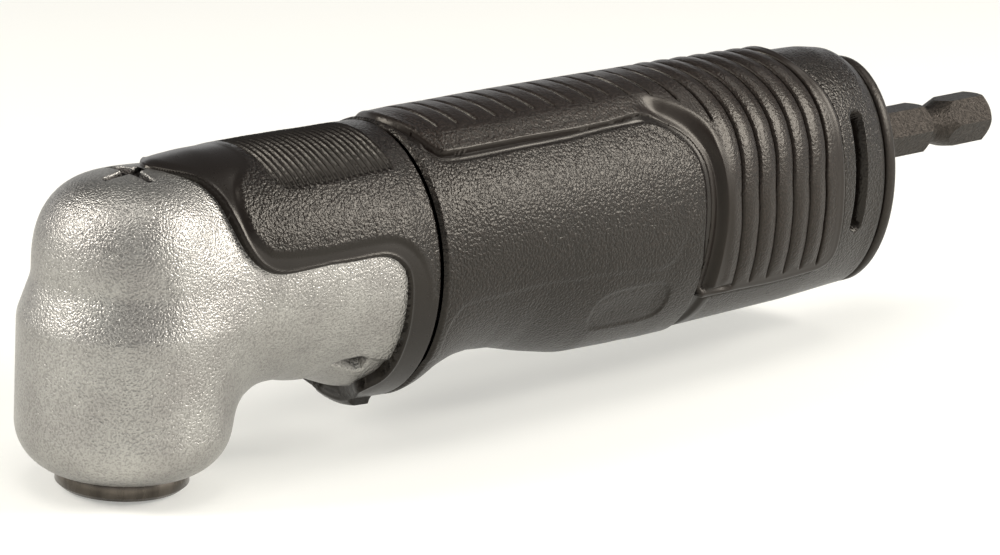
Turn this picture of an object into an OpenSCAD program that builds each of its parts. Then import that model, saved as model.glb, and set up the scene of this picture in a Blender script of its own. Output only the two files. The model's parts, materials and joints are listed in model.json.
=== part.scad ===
// Right angle drill attachment with a 1/4 inch hex drive shank and a magnetic bit socket.
// The origin is the centre of the bit socket's mouth. +Z runs up the output axis into the
// head, and +X runs back along the drive shaft to the shank. Sizes are in millimetres.

/* [Layout] */
// Height of the drive shaft's axis over the nose's end face
axis_h = 24.8; // [24:0.1:28]
// Distance from the output axis back to the seam behind the front collar
seam_x = 38.1; // [37:0.1:42]
// Length of the grip body, from the seam to its rear face
body_len = 84.6; // [80:0.2:100]
// Length of hex shank that stands out behind the end cap
shank_len = 27.1; // [25:0.1:34]
// Gap that shows as a dark line at the seams between mouldings
seam_gap = 0.3; // [0.2:0.05:0.5]

/* [Outer form] */
// Largest half width of the body
body_half_w = 14.6; // [14.2:0.1:17]
// Height of the body's top over the shaft's axis
body_top = 15.2; // [15:0.1:17]
// Depth of the body's underside below the shaft's axis
body_drop = 20.3; // [19.6:0.1:23]
// Squareness of the oval sections, where 2 is a plain ellipse
squareness = 2.4; // [2.2:0.05:2.8]

/* [Head casting] */
// Radius of the head's lower drum
head_r = 13.3; // [12.6:0.1:14.5]
// Radius of the narrower crown over the drum
crown_r = 11.5; // [11.2:0.1:12.4]
// Height of the crown's flat top over the shaft's axis
crown_top = 14; // [13.6:0.1:14.6]
// Rounding of the crown's edge
crown_round = 6.5; // [4:0.1:7]
// Rounding of the drum's lower edge
sole_round = 6.8; // [6:0.1:7]
// Depth below the shaft's axis where the shoulder reaches the drum
shoulder_low = 4; // [3:0.1:5]
// Height over the shaft's axis where the shoulder leaves the crown
shoulder_high = 0.8; // [0.4:0.1:2]
// Fillet between the drum and the underside of the barrel
neck_r = 3.5; // [2.5:0.1:4]
// Thickness of the gap left by the casting's step under the collar
step_depth = 1.9; // [1.6:0.1:2.2]
// Depth of the bare casting below the collar's surface
inlay_depth = 0.5; // [0.3:0.1:0.7]
// Length of the arms of the cross staked into the crown
stake_len = 7; // [4:0.1:8]
// Width of the staked arms
stake_w = 1.3; // [0.8:0.1:1.8]
// Depth of the staked arms
stake_depth = 0.9; // [0.4:0.1:1]
// Radius of the small hole at the middle of the cross
stake_hole_r = 1; // [0.8:0.1:1.4]

// Thickness of the crown over its bush
crown_wall = 2.8; // [2.5:0.1:3.2]
// Length of the bush in the crown
bush_len = 5; // [4:0.1:5.4]
// Wall of the spigot that enters the grip body
spigot_wall = 1.2; // [1:0.1:1.6]

/* [Front collar] */
// Height of the window's top edge over the shaft's axis
window_top = 2.1; // [1:0.1:4]
// Length of the closed ring at the collar's rear
ring_len = 5.1; // [4.5:0.1:6]
// Rounding of the window's upper rear corner
window_round = 3.5; // [2:0.1:4]
// Radius of the sweep from the crown down to the window
sweep_r = 8; // [6:0.1:9]
// Radius of the collar's front tip over the crown
tip_r = 5; // [4:0.1:5.5]
// Number of fine ribs on the collar's top
rib_count = 20; // [12:1:24]
// Spacing of the fine ribs
rib_pitch = 0.95; // [0.8:0.05:1]
// Half width of the patch of fine ribs
rib_half_w = 10; // [8:0.1:10.5]
// Depth of the grooves between the fine ribs
rib_depth = 0.35; // [0.2:0.05:0.5]
// Half width of the wedge moulded under the collar
wedge_half_w = 3.4; // [2:0.1:4]
// Length of that wedge
wedge_len = 6.6; // [5:0.1:7]
// How far the wedge stands out under the collar
wedge_proud = 0.8; // [0.4:0.1:1.2]

/* [Grip] */
// Thickness of the rubber grip over the body
grip_t = 0.9; // [0.7:0.1:1.4]
// Height of the saddle's lower edge over the shaft's axis
saddle_edge = 12.7; // [11.5:0.1:13.2]
// Length of the stretch that wraps down the sides
wrap_len = 27; // [22:0.2:32]
// Depth of the wrapped stretch below the shaft's axis
wrap_drop = 13.7; // [11:0.1:15]
// Length of bare body behind the grip
tail_len = 11; // [10:0.1:13]
// Radius of the sweep from the saddle down into the wrap
wrap_round = 9; // [6:0.1:11]
// Spacing of the grooves across the grip
groove_pitch = 3.2; // [2.8:0.1:3.8]
// Width of the grooves across the grip
groove_w = 0.9; // [0.6:0.1:1.4]
// Depth of the grooves across the grip
groove_depth = 0.5; // [0.3:0.1:0.6]
// Half width of the short grooves on the saddle
saddle_groove_half_w = 6.8; // [4:0.1:8]
// Number of long grooves that run down the sides
side_groove_count = 6; // [4:1:7]
// Number of short grooves on the saddle
saddle_groove_count = 12; // [8:1:13]

/* [Side panel and slots] */
// Height of the raised side panel over the body's flank
panel_proud = 0.5; // [0.3:0.1:0.8]
// Height of the panel's top edge over the shaft's axis
panel_top = 11.4; // [9:0.1:12]
// Depth of the panel's lower edge below the shaft's axis
panel_drop = 6.2; // [4:0.1:8]
// Length of the raised side panel
panel_len = 42; // [36:0.5:48]
// Depth of the oval finger dish under the panel
dish_depth = 0.7; // [0.4:0.1:1]
// Width of the slots near the end cap
slot_w = 3.2; // [2.6:0.1:3.6]
// Height of the slots near the end cap
slot_h = 16.8; // [14:0.1:17.2]
// Distance from the body's rear face to the middle of the slots
slot_back = 7; // [6:0.1:8]

/* [Screws and clips] */
// Radius of the body screws
screw_r = 1.25; // [1:0.05:1.4]
// Radius of the screws' heads
screw_head_r = 2.2; // [1.9:0.1:2.3]
// Height of the screws' heads
screw_head_h = 2; // [1.4:0.1:3]
// Length of thread that bites into the casting
thread_len = 8; // [5:0.5:9]
// Thickness of the wall that the screw heads clamp
front_wall = 8; // [6:0.5:10]
// Thickness of the shaft's small snap clips
clip_t = 0.7; // [0.5:0.1:0.8]
// Thickness of the bearings' circlips
circlip_t = 1; // [0.8:0.1:1.2]
// Depth of the circlips' grooves
circlip_grip = 0.6; // [0.4:0.1:0.8]

/* [End cap] */
// Thickness of the end cap
cap_t = 2; // [1.6:0.1:3]
// Rounding of the end cap's rear edge
cap_round = 0.9; // [0.5:0.1:1.2]
// Thickness of the cap's snap tongues
tongue_t = 1.3; // [1:0.1:1.6]

/* [Gears] */
// Module of the bevel gears
gear_module = 1; // [0.9:0.01:1.04]
// Teeth on each of the two mitre gears
gear_teeth = 16; // [15:1:16]
// Face width of the teeth
face_w = 3.6; // [3:0.1:4]
// Pressure angle of the teeth
pressure_angle = 20; // [18:0.5:24]
// Backlash at the pitch circle
backlash = 0.14; // [0.1:0.01:0.3]

// Length of the driven gear's hub below its teeth
gear_hub_len = 4.15; // [3.8:0.05:4.3]

/* [Drive shaft] */
// Width across flats of the hex shank
hex_af = 6.35; // [6.2:0.01:6.4]
// Angle of the hex about the shaft when the part is at rest
hex_turn = -4; // [-30:1:30]
// Length of the hex behind the power groove
tip_hex_len = 7; // [6:0.1:10]
// Length of the power groove
groove_len = 5.9; // [5:0.1:7]
// Radius of the power groove's floor
groove_r = 2.45; // [2.3:0.05:2.6]
// Radius of the shaft in its bearings
journal_r = 4; // [3.9:0.05:4.2]
// Radius of the pinion's seat
pinion_seat_r = 3; // [2.8:0.1:3.2]
// Radius of the thin torsion zone
torsion_r = 2.9; // [2.5:0.1:3.2]

/* [Bearings] */
// Width of the front ball bearing
front_w = 6; // [5:0.1:6.5]
// Outer radius of the front ball bearing
front_od_r = 9.5; // [9.3:0.1:9.6]
// Radius of the front bearing's balls
front_ball_r = 1.75; // [1.5:0.05:1.8]
// Number of balls in the front bearing
front_balls = 8; // [6:2:8]
// Distance from the output axis to the front bearing
front_x = 12; // [11.8:0.1:13]
// Width of the rear ball bearing
rear_w = 5; // [4:0.1:6]
// Outer radius of the rear ball bearing
rear_od_r = 8; // [7.8:0.1:8.3]
// Radius of the rear bearing's balls
rear_ball_r = 1.25; // [1.1:0.05:1.3]
// Number of balls in the rear bearing
rear_balls = 8; // [6:2:8]
// Distance from the body's rear face to the rear bearing's front
rear_back = 19.7; // [18.6:0.1:22]
// Diameter of the needles round the bit holder
needle_d = 1.4; // [1.2:0.05:1.5]
// Wall of the drawn needle cup
cup_wall = 0.65; // [0.5:0.05:0.8]

/* [Bit holder] */
// Radius of the steel sleeve that shows below the head
sleeve_r = 8.06; // [7.9:0.02:8.2]
// Thickness of the bronze washer under the driven gear
washer_t = 0.7; // [0.5:0.1:1]
// Height of the steel sleeve
sleeve_h = 1.45; // [1.2:0.05:2]
// Chamfer round the sleeve's mouth
sleeve_chamfer = 0.45; // [0.2:0.05:0.6]
// Radius of the spindle in the needle bearing
spindle_r = 6; // [5.8:0.05:6.1]
// Radius of the driven gear's seat
gear_seat_r = 3.5; // [3.4:0.1:3.6]
// Radius of the spindle's upper journal
upper_r = 2.5; // [2.2:0.1:2.8]
// Width across flats of the bit socket
socket_af = 6.45; // [6.4:0.01:6.6]
// Depth of the hex part of the bit socket
socket_depth = 9.6; // [8:0.1:9.8]
// Radius of the magnet at the socket's end
magnet_r = 2.4; // [2:0.1:2.5]
// Height of the magnet
magnet_h = 2.8; // [2:0.1:3]

/* [Fits] */
// Radial clearance of a running or sliding fit
run_gap = 0.04; // [0.02:0.01:0.08]
// Gap between pieces that only stand beside each other
side_gap = 0.15; // [0.1:0.05:0.3]
// Clearance between a ball or needle and what it rolls on
roll_gap = 0.02; // [0.01:0.01:0.04]
// End play of a bearing or clip between its faces
end_gap = 0.05; // [0.02:0.01:0.08]

/* [Hidden] */

// Counts of sides and steps
round_fn = 64;
small_fn = 32;
sides = 32;
arc_steps = 6;
flare_steps = 6;
flank_steps = 4;
// Overrun of cuts past the faces that they open
over = 1;
// Least distance between two sections of the outer form
ring_step = 0.25;
colour_cast = [0.80, 0.80, 0.79];
colour_nylon = [0.13, 0.12, 0.12];
colour_rubber = [0.18, 0.17, 0.17];
colour_steel = [0.62, 0.62, 0.64];
colour_dark_steel = [0.30, 0.28, 0.27];
colour_bronze = [0.72, 0.55, 0.32];

// Share along the length from the output axis to the seam, then shares of the body's half
// width, top and drop
collar_shares = [[0, 0.75, 0.98, 0.742], [0.13, 0.82, 0.99, 0.742], [0.2, 0.85, 0.998, 0.742],
    [0.26, 0.87, 1.003, 0.742], [0.40, 0.905, 1.007, 0.742], [0.55, 0.925, 1.003, 0.745],
    [0.60, 0.936, 1, 0.775], [0.65, 0.95, 0.998, 0.82], [0.71, 0.966, 0.993, 0.87],
    [0.76, 0.98, 0.988, 0.91], [0.82, 0.993, 0.985, 0.955], [0.88, 1, 0.987, 0.98],
    [1, 1, 0.995, 0.985]];
// The same for the body, from the seam to its rear face
body_shares = [[0, 1, 0.995, 0.985], [0.025, 1, 0.995, 0.982], [0.05, 1, 0.993, 0.962],
    [0.075, 0.998, 0.993, 0.912], [0.1, 0.996, 0.993, 0.861], [0.125, 0.994, 0.993, 0.827],
    [0.155, 0.992, 0.993, 0.808], [0.22, 0.988, 0.993, 0.852], [0.29, 0.98, 0.993, 0.921],
    [0.36, 0.973, 0.99, 0.973], [0.46, 0.955, 0.987, 0.99], [0.6, 0.92, 0.98, 0.99],
    [0.73, 0.885, 0.965, 0.985], [0.85, 0.838, 0.95, 0.98], [0.92, 0.785, 0.938, 0.97],
    [0.97, 0.735, 0.905, 0.958], [1, 0.712, 0.865, 0.953]];

function places(start, length, shares) = [for (s = shares) start + s[0] * length];
function column(start, length, shares, n) = [for (s = shares) [start + s[0] * length, s[n]]];
function both(n) = concat(column(0, seam_x, collar_shares, n),
    [for (p = column(seam_x, body_len, body_shares, n)) if (p[0] > seam_x) p]);
widths = both(1);
tops = both(2);
drops = both(3);
function half_w_at(x) = body_half_w * lookup(x, widths);
function top_at(x) = body_top * lookup(x, tops);
function drop_at(x) = body_drop * lookup(x, drops);
// The underside runs down in a fillet to the head's drum, by the distance from the drum's face
function fillet(d) = d >= neck_r ? 0 : d <= 0 ? neck_r : neck_r - sqrt(d * (2 * neck_r - d));

// Points of one section of the outer form, drawn in by inset
function curve(v) = sign(v) * pow(abs(v), 2 / squareness);
function section(x, inset) =
    let (w = half_w_at(x) - inset, t = top_at(x) - inset, b = drop_at(x) - inset)
    [for (k = [0 : sides - 1])
        let (y = w * curve(cos(360 * k / sides)), v = curve(sin(360 * k / sides)))
        [x, y, (t - b) / 2 + (t + b) / 2 * v + min(v, 0) * fillet(norm([x, y]) - head_r)]];

neck_start = 0.7 * head_r;
neck_steps = 6;
neck_places = [for (k = [0 : neck_steps]) neck_start + (head_r + neck_r - neck_start) * k / neck_steps];
ring_places = concat(
    [for (x = places(0, seam_x, collar_shares)) if (x < neck_start - ring_step) x],
    neck_places,
    [for (x = places(0, seam_x, collar_shares)) if (x > head_r + neck_r + ring_step) x],
    [for (x = places(seam_x, body_len, body_shares)) if (x > seam_x) x]);
function span(x0, x1) = concat([x0],
    [for (x = ring_places) if (x > x0 + ring_step && x < x1 - ring_step) x], [x1]);

// A solid through sections of the outer form. Insets may differ from section to section.
module loft_rings(rings) {
    last = len(rings) - 1;
    polyhedron(
        points = [for (r = rings) each r],
        faces = concat(
            [[for (k = [0 : sides - 1]) k]],
            [for (i = [0 : last - 1], k = [0 : sides - 1])
                [i * sides + k, (i + 1) * sides + k,
                    (i + 1) * sides + (k + 1) % sides, i * sides + (k + 1) % sides]],
            [[for (k = [sides - 1 : -1 : 0]) last * sides + k]]));
}
module form(x0, x1, inset) loft_rings([for (x = span(x0, x1)) section(x, inset)]);

// Points of an arc about a centre
function arc(cx, cy, r, a0, a1) =
    [for (k = [0 : arc_steps]) let (a = a0 + (a1 - a0) * k / arc_steps) [cx + r * cos(a), cy + r * sin(a)]];

module lift() translate([0, 0, axis_h]) children();
module about_x() rotate([0, 90, 0]) children();
// A plan drawn in x and z, cut through from side to side between two distances from the middle
module across(y0, y1) rotate([90, 0, 0]) translate([0, 0, y0]) linear_extrude(y1 - y0) children();
module ring(r_in, r_out, h) rotate_extrude($fn = round_fn)
    translate([r_in, 0]) square([r_out - r_in, h]);

// Levels and places that several pieces share, measured from the shaft's axis
head_base = -(axis_h - sleeve_h - side_gap);
pitch_r = gear_module * gear_teeth / 2;
cone_len = pitch_r * sqrt(2);
small_scale = (cone_len - face_w) / cone_len;
addendum = gear_module;
dedendum = 1.25 * gear_module;
gear_tip_r = pitch_r + addendum * cos(45);
root_r = pitch_r - dedendum * cos(45);
hub_r = small_scale * root_r - side_gap;
back_r = root_r - 3 * side_gap;
hub_front = 2 * small_scale * pitch_r - hub_r;
chamber_r = gear_tip_r + 2 * side_gap + run_gap * 2;
gear_back = gear_tip_r + gear_hub_len;
chamber_floor = -(gear_back + run_gap + washer_t);
seat_r = spindle_r + needle_d + 2 * roll_gap + cup_wall;
cap_x = seam_x + body_len + seam_gap;
tip_x = cap_x + cap_t + shank_len;
rear_x = seam_x + body_len - rear_back;
front_bore_r = front_od_r + 2 * run_gap;
window_x = seam_x - ring_len;
screw_y = body_half_w * 0.445;
screw_z = -body_drop * 0.567;
tunnel_r = journal_r * 1.95;

// The collar's edge seen from the side. The tip arches over the crown, sweeps down to the
// window's top, and turns down in front of the closed ring.
edge_x = 0.21 * window_x;
tip_start = edge_x - tip_r;
lip_x = window_x - window_round;
lip_z = -0.65 * body_drop;
// Where the edge crosses under the chin
chin_x = lip_x + 0.3 * ring_len;
// All that lies in front of that edge and under it, where the casting is bare. Shrunk moves
// the edge away from the collar.
module bare_plan(shrunk) {
    far = 2 * body_half_w;
    polygon(concat(
        [[-far, body_top + over], [tip_start, body_top + over]],
        arc(tip_start, body_top - tip_r, tip_r - shrunk, 90, 0),
        arc(edge_x + sweep_r, window_top + sweep_r, sweep_r + shrunk, 180, 270),
        arc(lip_x, window_top - window_round, window_round - shrunk, 90, 0),
        arc(lip_x, lip_z, window_round - shrunk, 0, -90),
        [[chin_x - shrunk, lip_z - 1.5 * window_round], [chin_x - shrunk, -far], [-far, -far]]));
}

// Head casting: drum, shoulder and crown on the output axis, and the barrel behind them
sole_turn = -acos((sleeve_r + side_gap - head_r + sole_round) / sole_round);
module head_profile(grown) {
    crown_z = crown_top - crown_round;
    flare = [for (k = [0 : flare_steps]) let (u = k / flare_steps, v = u * u * (3 - 2 * u))
        [head_r + grown + (crown_r - head_r) * v, u * (shoulder_high + shoulder_low) - shoulder_low]];
    polygon(concat(
        [[0, head_base - grown]],
        arc(head_r - sole_round, head_base - sole_round * sin(sole_turn), sole_round + grown, sole_turn, 0),
        flare,
        arc(crown_r - crown_round, crown_z, crown_round + grown, 0, 90),
        [[0, crown_top + grown]]));
}
module head_form(grown) rotate_extrude($fn = round_fn) head_profile(grown);

module stake_cross() translate([0, 0, crown_top - stake_depth]) {
    for (turn = [0, 90]) rotate([0, 0, turn])
        translate([-stake_len / 2, -stake_w / 2, 0]) cube([stake_len, stake_w, stake_depth + over]);
    translate([0, 0, -stake_depth]) cylinder(r = stake_hole_r, h = 2 * stake_depth + over, $fn = small_fn);
}

module head_housing() color(colour_cast) lift() difference() {
    union() {
        head_form(0);
        form(0, seam_x, step_depth);
        intersection() {
            loft_rings([for (x = span(0, window_x)) section(x, bare_inset(x))]);
            across(-2 * body_half_w, 2 * body_half_w) bare_plan(side_gap);
        }
        about_x() cylinder(r = spigot_r, h = seam_x + spigot_len, $fn = round_fn);
    }
    stake_cross();
    // Pinion chamber, bearing seat, circlip groove and rear bore
    about_x() rotate_extrude($fn = round_fn) polygon([
        [0, pinion_room], [chamber_r, pinion_room], [chamber_r, front_x - end_gap],
        [front_od_r, front_x - end_gap], [front_od_r, circlip_x(front_x, front_w)],
        [front_od_r + circlip_grip, circlip_x(front_x, front_w)],
        [front_od_r + circlip_grip, circlip_x(front_x, front_w) + circlip_t + 2 * end_gap],
        [front_bore_r, circlip_x(front_x, front_w) + circlip_t + 2 * end_gap],
        [front_bore_r, seam_x + spigot_len + over], [0, seam_x + spigot_len + over]]);
    // Gear chamber, needle seat and the bush's seat in the crown
    rotate_extrude($fn = round_fn) polygon([
        [0, head_base - over], [seat_r, head_base - over], [seat_r, chamber_floor],
        [chamber_r, chamber_floor], [chamber_r, crown_floor], [bush_r, crown_floor],
        [bush_r, bush_top], [0, bush_top]]);
    for (side = [-1, 1]) translate([seam_x - thread_len - side_gap, side * screw_y, screw_z])
        about_x() cylinder(r = screw_r, h = thread_len + side_gap + over, $fn = small_fn);
    pocket();
}
// The bare barrel grows out of the crown, so it starts deeper under the collar's surface
function bare_inset(x) = inlay_depth + max(0, 1 - x / (2 * edge_x)) * (step_depth - inlay_depth);
spigot_r = front_bore_r + spigot_wall;
spigot_len = 0.6 * ring_len;
function circlip_x(x, w) = x + w + end_gap;
pinion_room = small_scale * (pitch_r - addendum * cos(45)) - 3 * side_gap;
bush_r = pinion_room - 2 * side_gap - run_gap;
bush_top = crown_top - crown_wall;
crown_floor = bush_top - bush_len;

// Wedge shaped pocket cast into the barrel on each side, near the collar's lower edge
module pocket() for (side = [0, 1]) mirror([0, side, 0])
    translate([window_x * 0.74, -half_w_at(window_x) * 0.84, -body_drop * 0.64])
        rotate([40, 0, 0]) linear_extrude(ring_len, center = true)
            polygon([[0, 0], [ring_len * 0.9, -ring_len * 0.05], [ring_len * 0.85, -ring_len * 0.32]]);

// Front collar: a shell over the casting, with the fine ribs and the moulded wedge
module front_collar() color(colour_nylon) lift() difference() {
    union() {
        form(tip_start, seam_x - seam_gap / 2, 0);
        across(-wedge_half_w, wedge_half_w) wedge_plan();
    }
    form(tip_start - over, seam_x + over, step_depth - side_gap);
    head_form(side_gap);
    across(-2 * body_half_w, 2 * body_half_w) bare_plan(0);
    difference() {
        for (k = [0 : rib_count - 1])
            translate([window_x - k * rib_pitch, -rib_half_w, 0])
                cube([rib_pitch / 2, 2 * rib_half_w, body_top + over]);
        form(tip_start - over, seam_x + over, rib_depth);
    }
}
module wedge_plan() {
    x1 = seam_x - seam_gap / 2 - wedge_proud / 2;
    x0 = x1 - wedge_len;
    root = inlay_depth - drop_at(x0);
    low = -drop_at(x1) - wedge_proud;
    polygon(concat([[x0, root], [x0 + 0.75 * wedge_len, low]],
        arc(x1 - wedge_proud, low + wedge_proud, wedge_proud, -90, 0), [[x1, root]]));
}

// Body moulding: oval outside with the finger recess below, bored for the shaft, and with
// seats for the spigot, the rear bearing and the end cap
module grip_body() color(colour_nylon) lift() difference() {
    union() {
        form(seam_x + seam_gap / 2, seam_x + body_len, 0);
        panels();
    }
    about_x() rotate_extrude($fn = round_fn) polygon([
        [0, 0], [spigot_r + run_gap, 0], [spigot_r + run_gap, seam_x + spigot_len + side_gap],
        [journal_r * 1.5, seam_x + spigot_len + side_gap], [journal_r * 1.5, seam_x + front_wall],
        [tunnel_r, seam_x + front_wall], [tunnel_r, rear_x - front_wall / 2],
        [rear_od_r - 1.2 * rear_ball_r, rear_x - front_wall / 4],
        [rear_od_r - 1.2 * rear_ball_r, rear_x - end_gap], [rear_od_r, rear_x - end_gap],
        [rear_od_r, circlip_x(rear_x, rear_w)], [rear_od_r + circlip_grip, circlip_x(rear_x, rear_w)],
        [rear_od_r + circlip_grip, circlip_x(rear_x, rear_w) + circlip_t + 2 * end_gap],
        [rear_od_r + run_gap, circlip_x(rear_x, rear_w) + circlip_t + 2 * end_gap],
        [rear_od_r + run_gap, pocket_x], [pocket_half_w, pocket_x], [pocket_half_w, cap_x + over],
        [0, cap_x + over]]);
    translate([pocket_x, -pocket_half_w, slot_mid - slot_h / 2])
        cube([cap_x, 2 * pocket_half_w, slot_h]);
    for (side = [-1, 1]) {
        translate([slot_x - slot_w / 2, side * body_half_w / 2 - body_half_w / 2, slot_mid - slot_h / 2])
            cube([slot_w, body_half_w, slot_h]);
        translate([seam_x, side * screw_y, screw_z]) about_x() {
            cylinder(r = screw_r + side_gap, h = body_len, $fn = small_fn);
            translate([0, 0, front_wall]) cylinder(r = screw_head_r + side_gap, h = body_len, $fn = small_fn);
        }
    }
    for (side = [0, 1]) mirror([0, side, 0]) dish();
}
pocket_x = circlip_x(rear_x, rear_w) + circlip_t + 3 * end_gap + side_gap;
pocket_half_w = body_half_w * 0.6;
slot_x = seam_x + body_len - slot_back;
slot_mid = -0.15 * slot_w;
// Raised panels on both flanks, with rounded corners, drawn as one slice through the body
module panels() {
    x0 = seam_x + 0.4 * ring_len;
    r = 0.4 * panel_drop;
    intersection() {
        form(x0 - over, x0 + panel_len + over, -panel_proud);
        across(-2 * body_half_w, 2 * body_half_w) polygon(concat(
            arc(x0 + r, r - panel_drop, r, 270, 180),
            arc(x0 + r, panel_top - r, r, 180, 90),
            arc(x0 + panel_len - wrap_round, panel_top - wrap_round, wrap_round, 90, 0),
            arc(x0 + panel_len - 2 * r, r - panel_drop * 1.15, r, 0, -90)));
    }
}
// Shallow oval dish for the fingertips below the panel
module dish() translate([seam_x + panel_len * 0.82, -half_w_at(seam_x + panel_len * 0.82) * 0.9,
        -body_drop * 0.56]) rotate([28, 0, 0]) scale([panel_len / 6, dish_depth, panel_drop / 2.2])
    sphere(r = 1, $fn = small_fn);

// Rubber overmould: a saddle along the top that wraps down the sides at the rear
module grip_plan() {
    x0 = seam_x + 0.15 * ring_len;
    x1 = seam_x + body_len - tail_len;
    wrap_x = x1 - wrap_len;
    small = wrap_round / 6;
    polygon(concat(
        [[x0, body_top + 2 * grip_t], [x0, top_at(seam_x)]],
        [[x0 + 0.75 * ring_len, saddle_edge]],
        arc(wrap_x - wrap_round, saddle_edge - wrap_round, wrap_round, 90, 0),
        arc(wrap_x + 2 * small, small - wrap_drop, small, 180, 270),
        arc(x1 - 2 * small, 2 * small - wrap_drop, 2 * small, 270, 360),
        [[x1 - small, body_top + 2 * grip_t]]));
}
module grip_overmould() color(colour_rubber) lift() difference() {
    intersection() {
        form(seam_x + seam_gap, seam_x + body_len - tail_len + over, -grip_t);
        across(-2 * body_half_w, 2 * body_half_w) grip_plan();
    }
    form(seam_x - over, seam_x + body_len, 0);
    panels();
    difference() {
        union() {
            for (k = [0 : side_groove_count - 1])
                groove(groove_x(k), body_half_w, 0.87 * wrap_drop);
            for (k = [0 : saddle_groove_count - 1])
                groove(groove_x(k + side_groove_count), saddle_groove_half_w, 0);
        }
        form(seam_x - over, seam_x + body_len, groove_depth - grip_t);
    }
}
function groove_x(k) = seam_x + body_len - tail_len - groove_pitch * (k + 1.2);
module groove(x, half_w, depth) translate([x - groove_w / 2, -half_w, -depth])
    cube([groove_w, 2 * half_w, body_top + grip_t + over + depth]);

// End cap: a thin disc with a plug and two snap tongues whose barbs sit in the slots
module end_cap() color(colour_nylon) lift() difference() {
    union() {
        loft_rings([cap_section(cap_x, 0), cap_section(cap_x + cap_t - cap_round, 0),
            cap_section(cap_x + cap_t - 0.3 * cap_round, 0.3 * cap_round),
            cap_section(cap_x + cap_t, cap_round)]);
        translate([cap_x - plug_len, 0, 0]) about_x()
            cylinder(r = pocket_half_w - side_gap, h = plug_len + over, $fn = round_fn);
        for (side = [0, 1]) mirror([0, side, 0]) tongue();
    }
    about_x() cylinder(r = journal_r + 2 * side_gap, h = tip_x, $fn = round_fn);
}
plug_len = 1.6 * cap_t;
function cap_section(x, inset) = [for (p = section(seam_x + body_len, inset)) [x, p[1], p[2]]];
module tongue() {
    inner = pocket_half_w - side_gap - tongue_t;
    half_h = slot_h / 2 - side_gap;
    translate([slot_x - slot_w, inner, slot_mid - half_h])
        cube([cap_x - slot_x + slot_w + over, tongue_t, 2 * half_h]);
    translate([slot_x - slot_w / 2 + side_gap, inner, slot_mid - half_h])
        cube([slot_w - 2 * side_gap, 2 * tongue_t, 2 * half_h]);
}

// Two long screws that draw the body on to the casting
module body_screws() color(colour_dark_steel) lift() for (side = [-1, 1])
    translate([seam_x + front_wall, side * screw_y, screw_z]) about_x() difference() {
        union() {
            cylinder(r = screw_head_r, h = screw_head_h, $fn = small_fn);
            translate([0, 0, -front_wall - thread_len])
                cylinder(r = screw_r, h = front_wall + thread_len + over, $fn = small_fn);
        }
        translate([0, 0, screw_head_h / 2]) cylinder(r = screw_r, h = screw_head_h, $fn = 6);
    }

// Drive shaft: pinion seat, front journal, torsion zone, rear journal and hex shank
hex_r = hex_af / sqrt(3);
module drive_shaft() color(colour_dark_steel) lift() {
    torsion_x0 = circlip_x(front_x, front_w) + 2 * journal_r;
    torsion_x1 = rear_x - 2 * journal_r;
    hex_x = cap_x - plug_len / 2;
    clip_at = front_x + front_w;
    groove_x1 = tip_x - tip_hex_len;
    groove_x0 = groove_x1 - groove_len;
    about_x() rotate_extrude($fn = round_fn) polygon([
        [0, hub_front], [pinion_seat_r - run_gap, hub_front], [pinion_seat_r - run_gap, front_x - end_gap],
        [journal_r - run_gap / 2, front_x - end_gap], [journal_r - run_gap / 2, clip_at + end_gap],
        [pinion_seat_r, clip_at + end_gap], [pinion_seat_r, clip_at + clip_t + 2 * end_gap],
        [journal_r - run_gap / 2, clip_at + clip_t + 2 * end_gap], [journal_r - run_gap / 2, torsion_x0],
        [torsion_r, torsion_x0 + journal_r], [torsion_r, torsion_x1 - journal_r],
        [journal_r - run_gap / 2, torsion_x1], [journal_r - run_gap / 2, hex_x], [0, hex_x]]);
    rotate([hex_turn, 0, 0]) intersection() {
        translate([hex_x - over, 0, 0]) about_x() rotate([0, 0, 30])
            cylinder(r = hex_r, h = tip_x - hex_x + over, $fn = 6);
        about_x() rotate_extrude($fn = round_fn) polygon([
            [0, hex_x - over], [journal_r, hex_x - over], [journal_r, groove_x0],
            [hex_r, groove_x0], [groove_r, groove_x0 + 0.2 * groove_len],
            [groove_r, groove_x0 + 0.35 * groove_len], [hex_r, groove_x1],
            [journal_r, groove_x1], [hex_r + groove_r / 8, tip_x - groove_r / 2],
            [hex_r - groove_r / 2.6, tip_x], [0, tip_x]]);
    }
}

// Bevel teeth. The apex is at the origin and the cone opens along +Z. Each flank is the
// involute of the virtual gear on the back cone, and runs straight to the apex.
virtual_r = pitch_r * sqrt(2);
base_r = virtual_r * cos(pressure_angle);
// Pressure angle of the involute at a radius, and the involute of an angle, in radians
function angle_at(r) = r <= base_r ? 0 : acos(base_r / r);
function involute(a) = tan(a) - a * PI / 180;
// Half the thickness of a tooth, as an arc, at a radius on the virtual gear
function half_arc(r) = r * ((PI * gear_module / 2 - backlash / 2) / (2 * virtual_r)
    + involute(pressure_angle) - involute(angle_at(r)));
function flank_r(k) = virtual_r - dedendum + (addendum + dedendum) * k / flank_steps;
// A point of the large end: radius on the virtual gear and side of the tooth, put on the cone
function tooth_point(r, side, turn) =
    let (s = r - virtual_r, real_r = pitch_r + s * cos(45), a = turn + side * half_arc(r) / real_r * 180 / PI)
    [real_r * cos(a), real_r * sin(a), pitch_r - s * sin(45)];
function tooth_loop(phase) = [for (t = [0 : gear_teeth - 1]) let (turn = phase + 360 * t / gear_teeth)
    each concat([for (k = [0 : flank_steps]) tooth_point(flank_r(k), -1, turn)],
        [for (k = [flank_steps : -1 : 0]) tooth_point(flank_r(k), 1, turn)])];
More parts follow.
